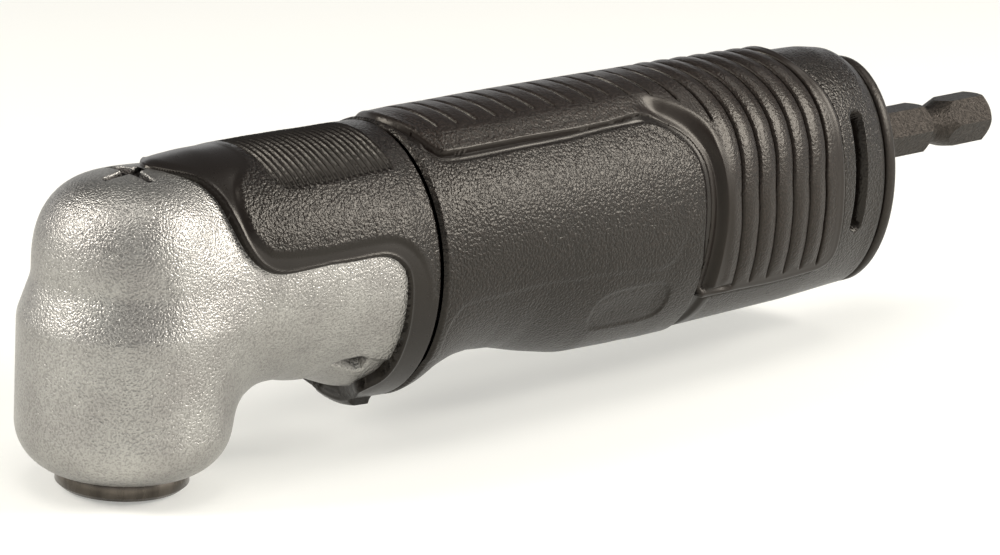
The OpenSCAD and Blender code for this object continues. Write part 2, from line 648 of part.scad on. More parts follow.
// A loop drawn in to a circle that lies on the same end cone
function ring_loop(loop, r, sum) =
    [for (p = loop) let (s = r / norm([p[0], p[1]])) [s * p[0], s * p[1], sum - r]];
module teeth(phase) {
    big = tooth_loop(phase);
    small = [for (p = big) small_scale * p];
    n = len(big);
    polyhedron(
        points = concat(ring_loop(small, hub_r, 2 * small_scale * pitch_r), small, big,
            ring_loop(big, back_r, 2 * pitch_r)),
        faces = concat(
            [[for (i = [0 : n - 1]) i]],
            [for (b = [0 : 2], i = [0 : n - 1]) let (k = (i + 1) % n, c = b + 1)
                each [[b * n + i, c * n + i, c * n + k], [b * n + i, c * n + k, b * n + k]]],
            [[for (i = [n - 1 : -1 : 0]) 3 * n + i]]));
}
// One mitre gear with its rear hub, bored for its seat
module mitre(phase, length, bore) difference() {
    union() {
        teeth(phase);
        translate([0, 0, pitch_r + gear_module / 2])
            cylinder(r = back_r - 2 * side_gap, h = length - pitch_r - gear_module / 2, $fn = round_fn);
    }
    cylinder(r = bore, h = length + over, $fn = round_fn);
}
half_tooth = 180 / gear_teeth;
module bevel_pinion() color(colour_steel) lift()
    about_x() mitre(0, front_x - end_gap, pinion_seat_r);
module bevel_gear() color(colour_steel) lift()
    mirror([0, 0, 1]) mitre(half_tooth, gear_back, gear_seat_r);

// Retaining clip with a gap, bored to sit in a shaft's groove
module snap_clip(r_in, r_out, t) difference() {
    ring(r_in, r_out, t);
    translate([0, -r_in * 0.6, -over]) cube([r_out + over, r_in * 1.2, t + 2 * over]);
}
module pinion_clip() color(colour_steel) lift() translate([front_x + front_w + 1.5 * end_gap, 0, 0])
    about_x() snap_clip(pinion_seat_r + run_gap, journal_r * 1.3, clip_t);
module gear_clip() color(colour_steel) lift() translate([0, 0, -hub_front + end_gap / 2])
    snap_clip(upper_r + run_gap, hub_r * 0.93, clip_t);

// Ball bearings, all drawn from the same few sizes along +Z
function ball_pitch(od_r) = (od_r + journal_r) / 2;
module race(r_in, r_out, w, pitch, ball_r) rotate_extrude($fn = round_fn) difference() {
    translate([r_in, 0]) square([r_out - r_in, w]);
    translate([pitch, w / 2]) circle(r = ball_r + roll_gap, $fn = small_fn);
}
module outer_race(od_r, w, ball_r) race(ball_pitch(od_r) + 0.55 * ball_r, od_r - run_gap, w,
    ball_pitch(od_r), ball_r);
module inner_race(od_r, w, ball_r) race(journal_r, ball_pitch(od_r) - 0.55 * ball_r, w,
    ball_pitch(od_r), ball_r);
module ball_ring(od_r, w, ball_r, count) for (k = [0 : count - 1])
    rotate([0, 0, 360 * k / count]) translate([ball_pitch(od_r), 0, w / 2])
        sphere(r = ball_r, $fn = small_fn);
module cage(od_r, w, ball_r, count) difference() {
    translate([0, 0, 0.14 * w])
        ring(ball_pitch(od_r) - 0.35 * ball_r, ball_pitch(od_r) + 0.35 * ball_r, 0.72 * w);
    for (k = [0 : count - 1]) rotate([0, 0, 360 * k / count]) translate([0, 0, w / 2])
        about_x() cylinder(r = ball_r + roll_gap, h = od_r, $fn = small_fn);
}
module at_front() lift() translate([front_x, 0, 0]) about_x() children();
module at_rear() lift() translate([rear_x, 0, 0]) about_x() children();
module front_outer_race() color(colour_steel) at_front() outer_race(front_od_r, front_w, front_ball_r);
module front_inner_race() color(colour_steel) at_front() inner_race(front_od_r, front_w, front_ball_r);
module front_ball_set() color(colour_steel) at_front()
    ball_ring(front_od_r, front_w, front_ball_r, front_balls);
module front_ball_cage() color(colour_bronze) at_front()
    cage(front_od_r, front_w, front_ball_r, front_balls);
module rear_outer_race() color(colour_steel) at_rear() outer_race(rear_od_r, rear_w, rear_ball_r);
module rear_inner_race() color(colour_steel) at_rear() inner_race(rear_od_r, rear_w, rear_ball_r);
module rear_ball_set() color(colour_steel) at_rear()
    ball_ring(rear_od_r, rear_w, rear_ball_r, rear_balls);
module rear_ball_cage() color(colour_bronze) at_rear()
    cage(rear_od_r, rear_w, rear_ball_r, rear_balls);

// Internal circlip that sprung out into the groove behind a bearing
module circlip(od_r) difference() {
    ring(od_r - 2 * circlip_grip, od_r + circlip_grip - run_gap, circlip_t);
    translate([0, -2 * circlip_t, -over]) cube([2 * od_r, 4 * circlip_t, circlip_t + 2 * over]);
}
module front_circlip() color(colour_dark_steel) lift()
    translate([circlip_x(front_x, front_w) + end_gap, 0, 0]) about_x() circlip(front_od_r);
module rear_circlip() color(colour_dark_steel) lift()
    translate([circlip_x(rear_x, rear_w) + end_gap, 0, 0]) about_x() circlip(rear_od_r);

// Bit holder: the sleeve that shows, the spindle in its needles, the gear's seat and the top
module bit_holder() color(colour_steel) lift() difference() {
    rotate_extrude($fn = round_fn) polygon([
        [0, -axis_h], [sleeve_r - sleeve_chamfer, -axis_h], [sleeve_r, sleeve_chamfer - axis_h],
        [sleeve_r, sleeve_h - axis_h], [spindle_r, sleeve_h - axis_h], [spindle_r, -gear_back],
        [gear_seat_r - run_gap, -gear_back], [gear_seat_r - run_gap, -hub_front],
        [upper_r, -hub_front], [upper_r, clip_t + end_gap - hub_front],
        [gear_seat_r - run_gap, clip_t + end_gap - hub_front],
        [gear_seat_r - run_gap, 2 * clip_t - hub_front], [upper_r, 2.5 * clip_t - hub_front],
        [upper_r, bush_top - side_gap], [0, bush_top - side_gap]]);
    translate([0, 0, -axis_h - over])
        cylinder(r = socket_af / sqrt(3), h = socket_depth + over, $fn = 6);
    translate([0, 0, -axis_h]) cylinder(r1 = socket_af / 2 + sleeve_chamfer, r2 = socket_af / 2,
        h = sleeve_chamfer, $fn = round_fn);
    translate([0, 0, -axis_h]) cylinder(r = magnet_r + run_gap, h = socket_depth + magnet_h, $fn = round_fn);
}
module bit_magnet() color(colour_dark_steel) lift() translate([0, 0, socket_depth - axis_h])
    cylinder(r = magnet_r, h = magnet_h, $fn = round_fn);

// Needle bearing: a drawn cup with turned-in lips and a full set of needles
cup_top = chamber_floor - end_gap;
seal_h = sleeve_h / 2;
cup_low = head_base + seal_h + end_gap;
lip_h = cup_wall;
module needle_cup() color(colour_steel) lift() rotate_extrude($fn = round_fn) polygon([
    [spindle_r + 3 * run_gap, cup_low], [seat_r - roll_gap, cup_low], [seat_r - roll_gap, cup_top],
    [spindle_r + 3 * run_gap, cup_top], [spindle_r + 3 * run_gap, cup_top - lip_h],
    [seat_r - cup_wall, cup_top - lip_h], [seat_r - cup_wall, cup_low + lip_h],
    [spindle_r + 3 * run_gap, cup_low + lip_h]]);
needle_pitch = spindle_r + roll_gap + needle_d / 2;
needle_count = floor(PI * needle_pitch / (needle_d / 2 + roll_gap) * 0.99);
module needle_rollers() color(colour_steel) lift() for (k = [0 : needle_count - 1])
    rotate([0, 0, 360 * k / needle_count])
        translate([needle_pitch, 0, cup_low + lip_h + end_gap])
            cylinder(r = needle_d / 2 - roll_gap / 2, h = cup_top - cup_low - 2 * (lip_h + end_gap),
                $fn = small_fn);

module thrust_washer() color(colour_bronze) lift() translate([0, 0, chamber_floor])
    ring(spindle_r + 2 * run_gap, chamber_r - side_gap, washer_t);
module crown_bush() color(colour_bronze) lift() translate([0, 0, crown_floor])
    ring(upper_r + run_gap, bush_r, bush_top - crown_floor - side_gap);
module nose_seal() color(colour_rubber) lift() translate([0, 0, head_base])
    ring(spindle_r + run_gap, seat_r, seal_h);

head_housing();
front_collar();
grip_body();
grip_overmould();
end_cap();
body_screws();
drive_shaft();
bevel_pinion();
pinion_clip();
front_outer_race();
front_inner_race();
front_ball_set();
front_ball_cage();
front_circlip();
rear_outer_race();
rear_inner_race();
rear_ball_set();
rear_ball_cage();
rear_circlip();
bit_holder();
bevel_gear();
gear_clip();
bit_magnet();
needle_cup();
needle_rollers();
thrust_washer();
crown_bush();
nose_seal();
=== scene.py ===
import json
import math

import bpy
import numpy as np
from mathutils import Matrix, Vector


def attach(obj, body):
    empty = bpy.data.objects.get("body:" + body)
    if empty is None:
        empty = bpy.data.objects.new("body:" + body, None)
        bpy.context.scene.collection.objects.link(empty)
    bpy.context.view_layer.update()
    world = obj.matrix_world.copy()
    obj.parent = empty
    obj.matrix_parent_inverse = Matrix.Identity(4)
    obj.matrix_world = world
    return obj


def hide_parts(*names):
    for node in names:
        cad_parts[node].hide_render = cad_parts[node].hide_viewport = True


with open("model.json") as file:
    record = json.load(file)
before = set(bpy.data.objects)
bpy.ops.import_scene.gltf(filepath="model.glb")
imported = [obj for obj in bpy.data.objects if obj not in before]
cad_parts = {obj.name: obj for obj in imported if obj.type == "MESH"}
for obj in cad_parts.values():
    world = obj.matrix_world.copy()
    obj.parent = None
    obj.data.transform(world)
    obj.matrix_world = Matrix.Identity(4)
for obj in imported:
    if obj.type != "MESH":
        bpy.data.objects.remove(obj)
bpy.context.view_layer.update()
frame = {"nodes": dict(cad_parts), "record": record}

# Camera. The photograph was taken with a long lens from the nose's side, a little above the
# tool, and rolled by less than three degrees.
MM = 0.001
AXIS_H = 24.8  # the shaft's axis above the nose
camera_data = bpy.data.cameras.new("photo_camera")
camera_data.sensor_width = 36.0
camera_data.lens = 180.0
camera_data.clip_start = 0.05
camera_data.clip_end = 20.0
camera = bpy.data.objects.new("photo_camera", camera_data)
bpy.context.scene.collection.objects.link(camera)
right = Vector((0.731649, -0.680069, 0.046863))
up = Vector((0.155887, 0.233843, 0.959696))
back = Vector((-0.663619, -0.694855, 0.277105))
place = Vector((-364.38, -446.0, 168.814 + AXIS_H)) * MM
camera.matrix_world = Matrix((
    (right.x, up.x, back.x, place.x), (right.y, up.y, back.y, place.y),
    (right.z, up.z, back.z, place.z), (0, 0, 0, 1)))
bpy.context.scene.camera = camera

# Studio. Big soft lamps stand high on the left and on the right as in a product shot, and a
# pale floor lies just under the nose. The surround is plain white, and dimmer overhead.
def linear(code):
    """Linear colour of an sRGB hex value, by the sRGB curve."""
    values = [int(code[i:i + 2], 16) / 255 for i in (1, 3, 5)]
    return [v / 12.92 if v <= 0.04045 else ((v + 0.055) / 1.055) ** 2.4 for v in values] + [1.0]


def add_node(tree, kind, sockets=None, links=None, **settings):
    """One node with its settings, its fixed inputs and its links as (node, output) pairs."""
    made = tree.nodes.new(kind)
    for key, value in settings.items():
        setattr(made, key, value)
    for key, value in (sockets or {}).items():
        made.inputs[key].default_value = value
    for key, (source, output) in (links or {}).items():
        tree.links.new(source.outputs[output], made.inputs[key])
    return made


def empty_tree(owner):
    """The owner's node tree with nothing in it."""
    owner.use_nodes = True
    owner.node_tree.nodes.clear()
    return owner.node_tree


world = bpy.data.worlds.new("studio_world")
bpy.context.scene.world = world
tree = empty_tree(world)
direction = add_node(tree, "ShaderNodeTexCoord")
parts = add_node(tree, "ShaderNodeSeparateXYZ", links={"Vector": (direction, "Generated")})
# White round the horizon, where a view looks, and a dimmer ceiling above that
fall = add_node(tree, "ShaderNodeMapRange",
                {"From Min": 0.13, "From Max": 0.34, "To Min": 1.0, "To Max": 0.2},
                {"Value": (parts, "Z")}, interpolation_type="SMOOTHSTEP")
around = add_node(tree, "ShaderNodeBackground", {"Color": (1, 1, 1, 1)},
                  {"Strength": (fall, "Result")})
add_node(tree, "ShaderNodeOutputWorld", links={"Surface": (around, 0)})


LAMP_WHITE = linear("#FFFBF5")[:3]


def soft_lamp(name, position_mm, aim_mm, size_mm, watts):
    """An area lamp that looks from a place to an aim point, both in millimetres."""
    data = bpy.data.lights.new(name, "AREA")
    data.shape = "RECTANGLE"
    data.size = size_mm[0] * MM
    data.size_y = size_mm[1] * MM
    data.energy = watts
    data.color = LAMP_WHITE
    lamp = bpy.data.objects.new(name, data)
    bpy.context.scene.collection.objects.link(lamp)
    lamp.location = Vector(position_mm) * MM
    lamp.rotation_mode = "QUATERNION"
    aim = (Vector(aim_mm) - Vector(position_mm)).normalized()
    lamp.rotation_quaternion = aim.to_track_quat("-Z", "Y")


# The key lights the flank that the camera sees, and a small lamp above it the shoulder. The fill
# opens the shade, the rim lamp edges the crown's left side, and the top lamp softens the rest.
soft_lamp("key_right", (352, -292, 265), (60, 0, 25), (205, 205), 2.2)
soft_lamp("high_right", (350, -50, 380), (60, 0, 25), (120, 120), 0.2)
soft_lamp("fill_front", (330, -420, 150), (40, 0, 20), (380, 300), 0.35)
soft_lamp("rim_left", (-320, 176, 290), (10, 0, 20), (170, 170), 1.7)
soft_lamp("top", (-100, -70, 480), (30, 0, 20), (240, 240), 0.75)

FLOOR_HALF = 3000 * MM
FLOOR_Z = -0.4 * MM
floor_mesh = bpy.data.meshes.new("floor")
floor_mesh.from_pydata(
    [(-FLOOR_HALF, -FLOOR_HALF, FLOOR_Z), (FLOOR_HALF, -FLOOR_HALF, FLOOR_Z),
     (FLOOR_HALF, FLOOR_HALF, FLOOR_Z), (-FLOOR_HALF, FLOOR_HALF, FLOOR_Z)], [], [(0, 1, 2, 3)])
floor = bpy.data.objects.new("floor", floor_mesh)
bpy.context.scene.collection.objects.link(floor)
floor_paint = bpy.data.materials.new("pale_floor")
tree = empty_tree(floor_paint)
path = add_node(tree, "ShaderNodeLightPath")
# Matt pale grey. The camera and the object's reflections also see it glow a little, so that it
# turns white there without more light on the object.
paint = add_node(tree, "ShaderNodeBsdfDiffuse", {"Color": linear("#D6D6D2")})
bright = add_node(tree, "ShaderNodeEmission", {"Color": linear("#FFFFFA"), "Strength": 0.32})
both = add_node(tree, "ShaderNodeAddShader", links={0: (paint, 0), 1: (bright, 0)})
camera_or_gloss = add_node(tree, "ShaderNodeMath", operation="MAXIMUM",
                           links={0: (path, "Is Camera Ray"), 1: (path, "Is Glossy Ray")})
looked_at = add_node(tree, "ShaderNodeMath", operation="MAXIMUM",
                     links={0: (camera_or_gloss, 0), 1: (path, "Is Transmission Ray")})
mixed = add_node(tree, "ShaderNodeMixShader",
                 links={0: (looked_at, 0), 1: (paint, 0), 2: (both, 0)})
add_node(tree, "ShaderNodeOutputMaterial", links={"Surface": (mixed, 0)})
floor.data.materials.append(floor_paint)

# Cast head and barrel. One aluminium die casting, tumbled to a soft satin with a pebbled
# skin: the drum and crown round the output axis, and the oval barrel that grows out of it.
SEAM_X, BODY_LEN = 38.1, 84.6
# Largest half width, and the height above and drop below the shaft's axis
HALF_W, TOP, DROP = 14.6, 15.2, 20.3
# Share of the length behind the output axis, then shares of half width, top and drop. The
# collar's lengths end at its seam with the body, and the body's start there.
collar_shares = np.array([
    [0, 0.75, 0.98, 0.742], [0.13, 0.82, 0.99, 0.742], [0.2, 0.85, 0.998, 0.742],
    [0.26, 0.87, 1.006, 0.742], [0.40, 0.905, 1.003, 0.742], [0.55, 0.925, 1.002, 0.745],
    [0.60, 0.936, 0.999, 0.775], [0.65, 0.95, 0.998, 0.82], [0.71, 0.966, 0.995, 0.87],
    [0.76, 0.98, 0.99, 0.91], [0.82, 0.993, 0.988, 0.955], [0.88, 1, 0.987, 0.98],
    [1, 1, 0.985, 0.995]])
body_shares = np.array([
    [0.025, 1, 0.975, 0.969], [0.05, 1, 0.977, 0.907], [0.075, 0.998, 0.981, 0.866],
    [0.1, 0.996, 0.981, 0.834], [0.125, 0.994, 0.979, 0.818], [0.155, 0.992, 0.977, 0.809],
    [0.22, 0.988, 0.982, 0.834], [0.29, 0.98, 0.984, 0.91], [0.36, 0.973, 0.982, 0.971],
    [0.46, 0.955, 0.979, 0.986], [0.6, 0.92, 0.975, 0.985], [0.73, 0.885, 0.962, 0.98],
    [0.85, 0.838, 0.952, 0.977], [0.92, 0.785, 0.944, 0.967], [0.97, 0.735, 0.9, 0.96],
    [1, 0.712, 0.79, 0.955]])
stations = np.concatenate([collar_shares[:, 0] * SEAM_X, SEAM_X + body_shares[:, 0] * BODY_LEN])
sizes = np.concatenate([collar_shares[:, 1:], body_shares[:, 1:]]) * (HALF_W, TOP, DROP)


EASE = 1.5  # half the stretch that is averaged, which rounds the joins of the table's lines


def eased(x, values):
    """Values at x between the stations, averaged over twice EASE by a raised cosine."""
    steps = np.linspace(-1, 1, 9)
    weights = 0.5 + 0.5 * np.cos(np.pi * steps)
    reach = np.clip(np.minimum(x - stations[0], stations[-1] - x), 0, EASE)
    return sum(w * np.interp(x + s * reach, stations, values)
               for s, w in zip(steps, weights)) / weights.sum()


def ring(x, turn, w, t, b):
    """Points of an ellipse of half width w, top t and drop b.

    y = -w sin(turn) and z = (t - b) / 2 + (t + b) / 2 cos(turn).
    """
    return np.stack([x + 0 * turn, -w * np.sin(turn), (t - b) / 2 + (t + b) / 2 * np.cos(turn)], -1)


def oval(x, turn):
    """Points of the outer form at x. The turn starts at the top and grows towards -Y."""
    return ring(x, turn, *(eased(x, sizes[:, k]) for k in range(3)))


def outward(surface, x, turn):
    """Unit normals of a surface of x and turn, from the cross product of its two slopes."""
    e = 1e-3
    along = surface(x + e, turn) - surface(x - e, turn)
    around = surface(x, turn + e) - surface(x, turn - e)
    n = np.cross(around, along)
    return n / (np.linalg.norm(n, axis=-1, keepdims=True) + 1e-12)


# Lengths along the middle section from its top, so that grids can be spaced evenly round it
MIDDLE_X, TABLE_STEPS = 70.0, 2001
turn_table = np.linspace(0, np.pi, TABLE_STEPS)
middle = oval(np.full(TABLE_STEPS, MIDDLE_X), turn_table)
length_table = np.concatenate([[0], np.cumsum(np.linalg.norm(np.diff(middle, axis=0), axis=1))])
HALF_ROUND = length_table[-1]  # from the top to the bottom of the middle section


def turn_at(length):
    """Turn from the top at a signed length along the middle section."""
    return np.sign(length) * np.interp(np.abs(length), length_table, turn_table)


def arc(cx, cy, r, start, end, steps):
    """Points of an arc about a centre, from one angle to another in degrees."""
    a = np.radians(np.linspace(start, end, steps))
    return np.stack([cx + r * np.cos(a), cy + r * np.sin(a)], -1)


def nearest(px, py, outline):
    """Signed distance to a closed outline, positive inside, and the nearest point on it."""
    near, qx, qy = np.full(px.shape, 1e9), px * 0, py * 0
    inside = np.zeros(px.shape, bool)
    for (ax, ay), (bx, by) in zip(outline, np.roll(outline, -1, axis=0)):
        ex, ey = bx - ax, by - ay
        u = np.clip(((px - ax) * ex + (py - ay) * ey) / (ex * ex + ey * ey + 1e-12), 0, 1)
        sx, sy = ax + u * ex, ay + u * ey
        far = (px - sx) ** 2 + (py - sy) ** 2
        closer = far < near
        near, qx, qy = np.where(closer, far, near), np.where(closer, sx, qx), np.where(closer, sy, qy)
        crosses = (ay > py) != (by > py)
        inside ^= crosses & (px < ax + (py - ay) / (by - ay + 1e-12) * ex)
    return np.sqrt(near) * np.where(inside, 1, -1), qx, qy


def depth_in(px, py, outline):
    """The signed distance to a closed outline alone, positive inside."""
    return nearest(px, py, outline)[0]


def flowing(*points):
    """Points along a Catmull-Rom curve through the given ones, five to each stretch."""
    p = np.array(points, float)
    p = np.concatenate([2 * p[:1] - p[1:2], p, 2 * p[-1:] - p[-2:-1]])
    u = np.linspace(0, 1, 5, endpoint=False)[:, None]
    parts = [0.5 * (2 * b + (c - a) * u + (2 * a - 5 * b + 4 * c - d) * u ** 2
                    + (3 * b - a - 3 * c + d) * u ** 3)
             for a, b, c, d in zip(p[:-3], p[1:-2], p[2:-1], p[3:])]
    return np.concatenate(parts + [p[-2:-1]])


def step(v, low, high):
    """Smooth step from 0 at low to 1 at high."""
    u = np.clip((v - low) / (high - low), 0, 1)
    return u * u * (3 - 2 * u)


def bell(v, width):
    """Bell curve of height 1 over v = 0: e to the power of minus the square of v / width."""
    return np.exp(-(v / width) ** 2)


def spaced(*stretches):
    """Places along a line from (start, end, spacing) stretches."""
    return np.concatenate([np.arange(a, b, s) for a, b, s in stretches])


def resampled(line, spacing):
    """The same line with points at an even spacing along it, ends kept."""
    along = np.concatenate([[0], np.cumsum(np.linalg.norm(np.diff(line, axis=0), axis=1))])
    places = np.linspace(0, along[-1], int(round(along[-1] / spacing)) + 1)
    return np.stack([np.interp(places, along, line[:, k]) for k in range(2)], -1)


# Sizes of the turned head in radius and height, from the crown down to the mouth
CROWN_R, CROWN_LOW, CROWN_H, CROWN_POWER = 11.57, 2.35, 11.65, 2 / 2.56
SHOULDER_LOW, SHOULDER_HIGH = -4.75, 2.6
CONE_LOW, CONE_HIGH, CONE_ROUND = -3.5, 1.3, 0.7
DRUM_R, SOLE_ROUND, SOLE_Z = 13.2, 6.1, -22.6
MOUTH_R, MOUTH_LIP, MOUTH_DEEP = 8.26, 0.2, 1.2
# The staked mark lies within this radius, on a finer grid
MARK_R, MARK_SPACING, HEAD_SPACING, OUTLINE_SPACING = 5.2, 0.13, 0.4, 0.7
# The crown is a superellipse: its radius goes by the sine and its height by the cosine of the
# turn, each raised to CROWN_POWER
dome_turn = np.linspace(0.0008, np.pi / 2, 900)
dome = np.stack([CROWN_R * np.sin(dome_turn) ** CROWN_POWER,
                 CROWN_LOW + CROWN_H * np.cos(dome_turn) ** CROWN_POWER], -1)
dome = dome[dome[:, 1] > SHOULDER_HIGH]
# The shoulder is a cone whose two edges are rounded by averaging it over a short height
flare = np.linspace(SHOULDER_HIGH, SHOULDER_LOW, 60)
cone = np.mean([np.clip((CONE_HIGH + shift - flare) / (CONE_HIGH - CONE_LOW), 0, 1)
                for shift in CONE_ROUND * np.linspace(-1, 1, 9)], axis=0)
shoulder = np.stack([dome[-1, 0] + (DRUM_R - dome[-1, 0]) * cone, flare], -1)
# The sole's round runs from the drum down to the lip of the mouth
sole_turn = -math.degrees(math.acos((MOUTH_R + MOUTH_LIP - DRUM_R + SOLE_ROUND) / SOLE_ROUND))
sole_mid = SOLE_Z - SOLE_ROUND * math.sin(math.radians(sole_turn))
marked = dome[:, 0] < MARK_R
# Profile from the middle of the crown down to the mouth: radius and height
head_profile = np.concatenate([
    resampled(dome[marked], MARK_SPACING),
    resampled(np.concatenate([dome[~marked], shoulder, arc(
        DRUM_R - SOLE_ROUND, sole_mid, SOLE_ROUND, 0, sole_turn, 60)]), HEAD_SPACING),
    [(MOUTH_R, SOLE_Z), (MOUTH_R, SOLE_Z + MOUTH_DEEP)]])
head_outline = np.concatenate([
    resampled(head_profile, OUTLINE_SPACING), [(0, SOLE_Z + MOUTH_DEEP), (0, dome[0, 1])]])


def from_head(p):
    """Distance outside the turned head, from its outline in radius and height."""
    return -depth_in(np.hypot(p[..., 0], p[..., 1]), p[..., 2], head_outline)


# How far the barrel lies under the collar, draws in towards the head up to DIP_END, and rises
# to make room for the collar's chin
UNDER_COLLAR, DIP, DIP_END = 0.5, 1.4, 14.0
CHIN_ROOM, CHIN_FROM, CHIN_TO = 1.6, 22.0, 27.5


def bare_sizes(x):
    """Half width, top and drop of the bare barrel, which lies under the collar's surface."""
    w, t, b = (eased(x, sizes[:, k]) for k in range(3))
    dip = DIP * np.clip(1 - x / DIP_END, 0, 1)
    chin = CHIN_ROOM * step(x, CHIN_FROM, CHIN_TO)
    return w - UNDER_COLLAR - dip, t - UNDER_COLLAR - dip, b - dip - chin


def from_barrel(p):
    """Distance outside the oval barrel, from its ellipse divided by its slope.

    In front of its flat end, at x = 0, the distance is taken to the end's rim.
    """
    x = p[..., 0]
    w, t, b = bare_sizes(x)
    u, v = np.abs(p[..., 1]) / w, np.abs(p[..., 2] - (t - b) / 2) / ((t + b) / 2)
    g = np.hypot(u, v) + 1e-9
    past_skin = (g - 1) * g / np.hypot(u / w, v / ((t + b) / 2))
    return np.where(x > 0, past_skin, np.hypot(np.maximum(past_skin, 0), np.minimum(x, 0)))


# Size of the fillet below the first of two heights over the axis and above the second, and the
# share by which the skin that gives way dips under the other's
FILLET_LOW, FILLET_TOP, FILLET_FROM, FILLET_TO = 6.0, 2.6, 1.0, 9.5
FILLET_DIP = 0.012


def blended(p, n, other):
    """Moves points out along their normals on to the fillet between two forms.

    On the fillet the roots of the two distances add up to the root of its size, which is large
    at the neck and under the barrel and small over the crown. The way out is found by halving.
    The second value says how far past the fillet's middle a point is, where the other form's
    skin takes over and this one dips a hair under it.
    """
    low, high = np.zeros(p.shape[:-1]), np.full(p.shape[:-1], FILLET_LOW)
    for _ in range(20):
        mid = (low + high) / 2
        mine = np.sqrt(mid)
        here = p + n * mid[..., None]
        its = np.sqrt(np.maximum(other(here), 0))
        size = FILLET_LOW + (FILLET_TOP - FILLET_LOW) * step(here[..., 2], FILLET_FROM, FILLET_TO)
        full = mine + its > np.sqrt(size) * (1 - FILLET_DIP * step(mine - its, 0, 0.6))
        high = np.where(full, mid, high)
        low = np.where(full, low, mid)
    moved = p + n * high[..., None]
    rest = other(moved)
    past = np.where(rest < 0, np.inf, np.sqrt(high) - np.sqrt(np.maximum(rest, 0)))
    return moved, past


def faces_of(rows, columns, closed):
    """Quads of a grid by index, with the last column joined to the first where it is closed."""
    i, j = np.meshgrid(np.arange(rows - 1), np.arange(columns - (0 if closed else 1)), indexing="ij")
    k = (j + 1) % columns
    quads = [i * columns + j, i * columns + k, (i + 1) * columns + k, (i + 1) * columns + j]
    return np.stack(quads, -1).reshape(-1, 4)


def add_piece(name, points, quads, material, body="housing", **marks):
    """A mesh from arrays of points, in millimetres over the shaft's axis, and of quads.

    Each mark is a value per point that the material reads by its name.
    """
    used, quads = np.unique(quads, return_inverse=True)
    quads = quads.reshape(-1, 4)
    points = (points.reshape(-1, 3)[used] + (0, 0, AXIS_H)) * MM
    mesh = bpy.data.meshes.new(name)
    mesh.vertices.add(len(points))
    mesh.vertices.foreach_set("co", points.astype(np.float32).ravel())
    mesh.loops.add(quads.size)
    mesh.loops.foreach_set("vertex_index", quads.astype(np.int32).ravel())
    mesh.polygons.add(len(quads))
    mesh.polygons.foreach_set("loop_start", np.arange(0, quads.size, 4, dtype=np.int32))
    mesh.update(calc_edges=True)
    mesh.validate()
    mesh.polygons.foreach_set("use_smooth", np.ones(len(mesh.polygons), bool))
    for mark, values in marks.items():
        layer = mesh.attributes.new(mark, "FLOAT", "POINT")
        layer.data.foreach_set("value", values.ravel()[used].astype(np.float32))
    mesh.materials.append(material)
    piece = bpy.data.objects.new(name, mesh)
    bpy.context.scene.collection.objects.link(piece)
    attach(piece, body)
    return piece


# Per metre: a pebble about every 0.27 mm, as the tumbling leaves them, and a cloud about every
# 7 mm, where the metal is a shade lighter
PEBBLES, CLOUDS = 3700.0, 150.0
PEBBLE_H = 0.16 * MM


def cast_aluminium():
    """Tumbled die-cast aluminium: a satin metal whose pebbled skin breaks up every reflection."""
    made = bpy.data.materials.new("tumbled_cast_aluminium")
    tree = empty_tree(made)
    where = add_node(tree, "ShaderNodeTexCoord")
    pebble = add_node(tree, "ShaderNodeTexNoise",
                      {"Scale": PEBBLES, "Detail": 1.0, "Roughness": 0.5},
                      {"Vector": (where, "Object")})
    cloud = add_node(tree, "ShaderNodeTexNoise",
                     {"Scale": CLOUDS, "Detail": 3.0, "Roughness": 0.5},
                     {"Vector": (where, "Object")})
    tint = add_node(tree, "ShaderNodeValToRGB", links={"Fac": (cloud, "Fac")})
    tint.color_ramp.elements[0].position = 0.3
    tint.color_ramp.elements[0].color = linear("#9A9793")
    tint.color_ramp.elements[1].position = 0.72
    tint.color_ramp.elements[1].color = linear("#ADABA6")
    # Painted shade in the hollows between the pebbles, which are darker, with the pebbles' tops a
    # touch lighter
    hollow_shade = add_node(tree, "ShaderNodeMapRange",
                      {"From Min": 0.36, "From Max": 0.56, "To Min": 0.76, "To Max": 1.05},
                      {"Value": (pebble, "Fac")})
    pebble_shaded = add_node(tree, "ShaderNodeMixRGB", {"Fac": 1.0},
                      {"Color1": (tint, "Color"), "Color2": (hollow_shade, "Result")},
                      blend_type="MULTIPLY")
    # Dirt and painted shade in the staked mark and the pockets: a dark colour where they lie in shadow
    grime = add_node(tree, "ShaderNodeAttribute", attribute_name="grime")
    soiled_and_shaded = add_node(tree, "ShaderNodeMixRGB", {"Color2": linear("#2A2725")},
                      {"Fac": (grime, "Fac"), "Color1": (pebble_shaded, "Color")})
    rough = add_node(tree, "ShaderNodeMapRange", {"To Min": 0.33, "To Max": 0.45},
                     {"Value": (pebble, "Fac")})
    bump = add_node(tree, "ShaderNodeBump", {"Strength": 1.0, "Distance": PEBBLE_H},
                    {"Height": (pebble, "Fac")})
    shader = add_node(tree, "ShaderNodeBsdfPrincipled", {"Metallic": 1.0},
                      {"Base Color": (soiled_and_shaded, "Color"), "Roughness": (rough, "Result"),
                       "Normal": (bump, "Normal")})
    add_node(tree, "ShaderNodeOutputMaterial", links={"Surface": (shader, "BSDF")})
    return made


cast_skin = cast_aluminium()


# The staked cross: half its length, half its width and its depth, the height of the burr and
# its place beside the groove, and the radius and depth of the punch's pit
MARK_REACH, MARK_HALF, MARK_DEEP = 4.1, 0.9, 1.1
BURR_H, BURR_OFF, BURR_W = 0.12, 0.28, 0.16
PIT_R, PIT_EDGE_R, PIT_DEEP = 0.75, 1.2, 1.9
TIP_SHARE = 0.55  # of the groove's width, that is left at its tip


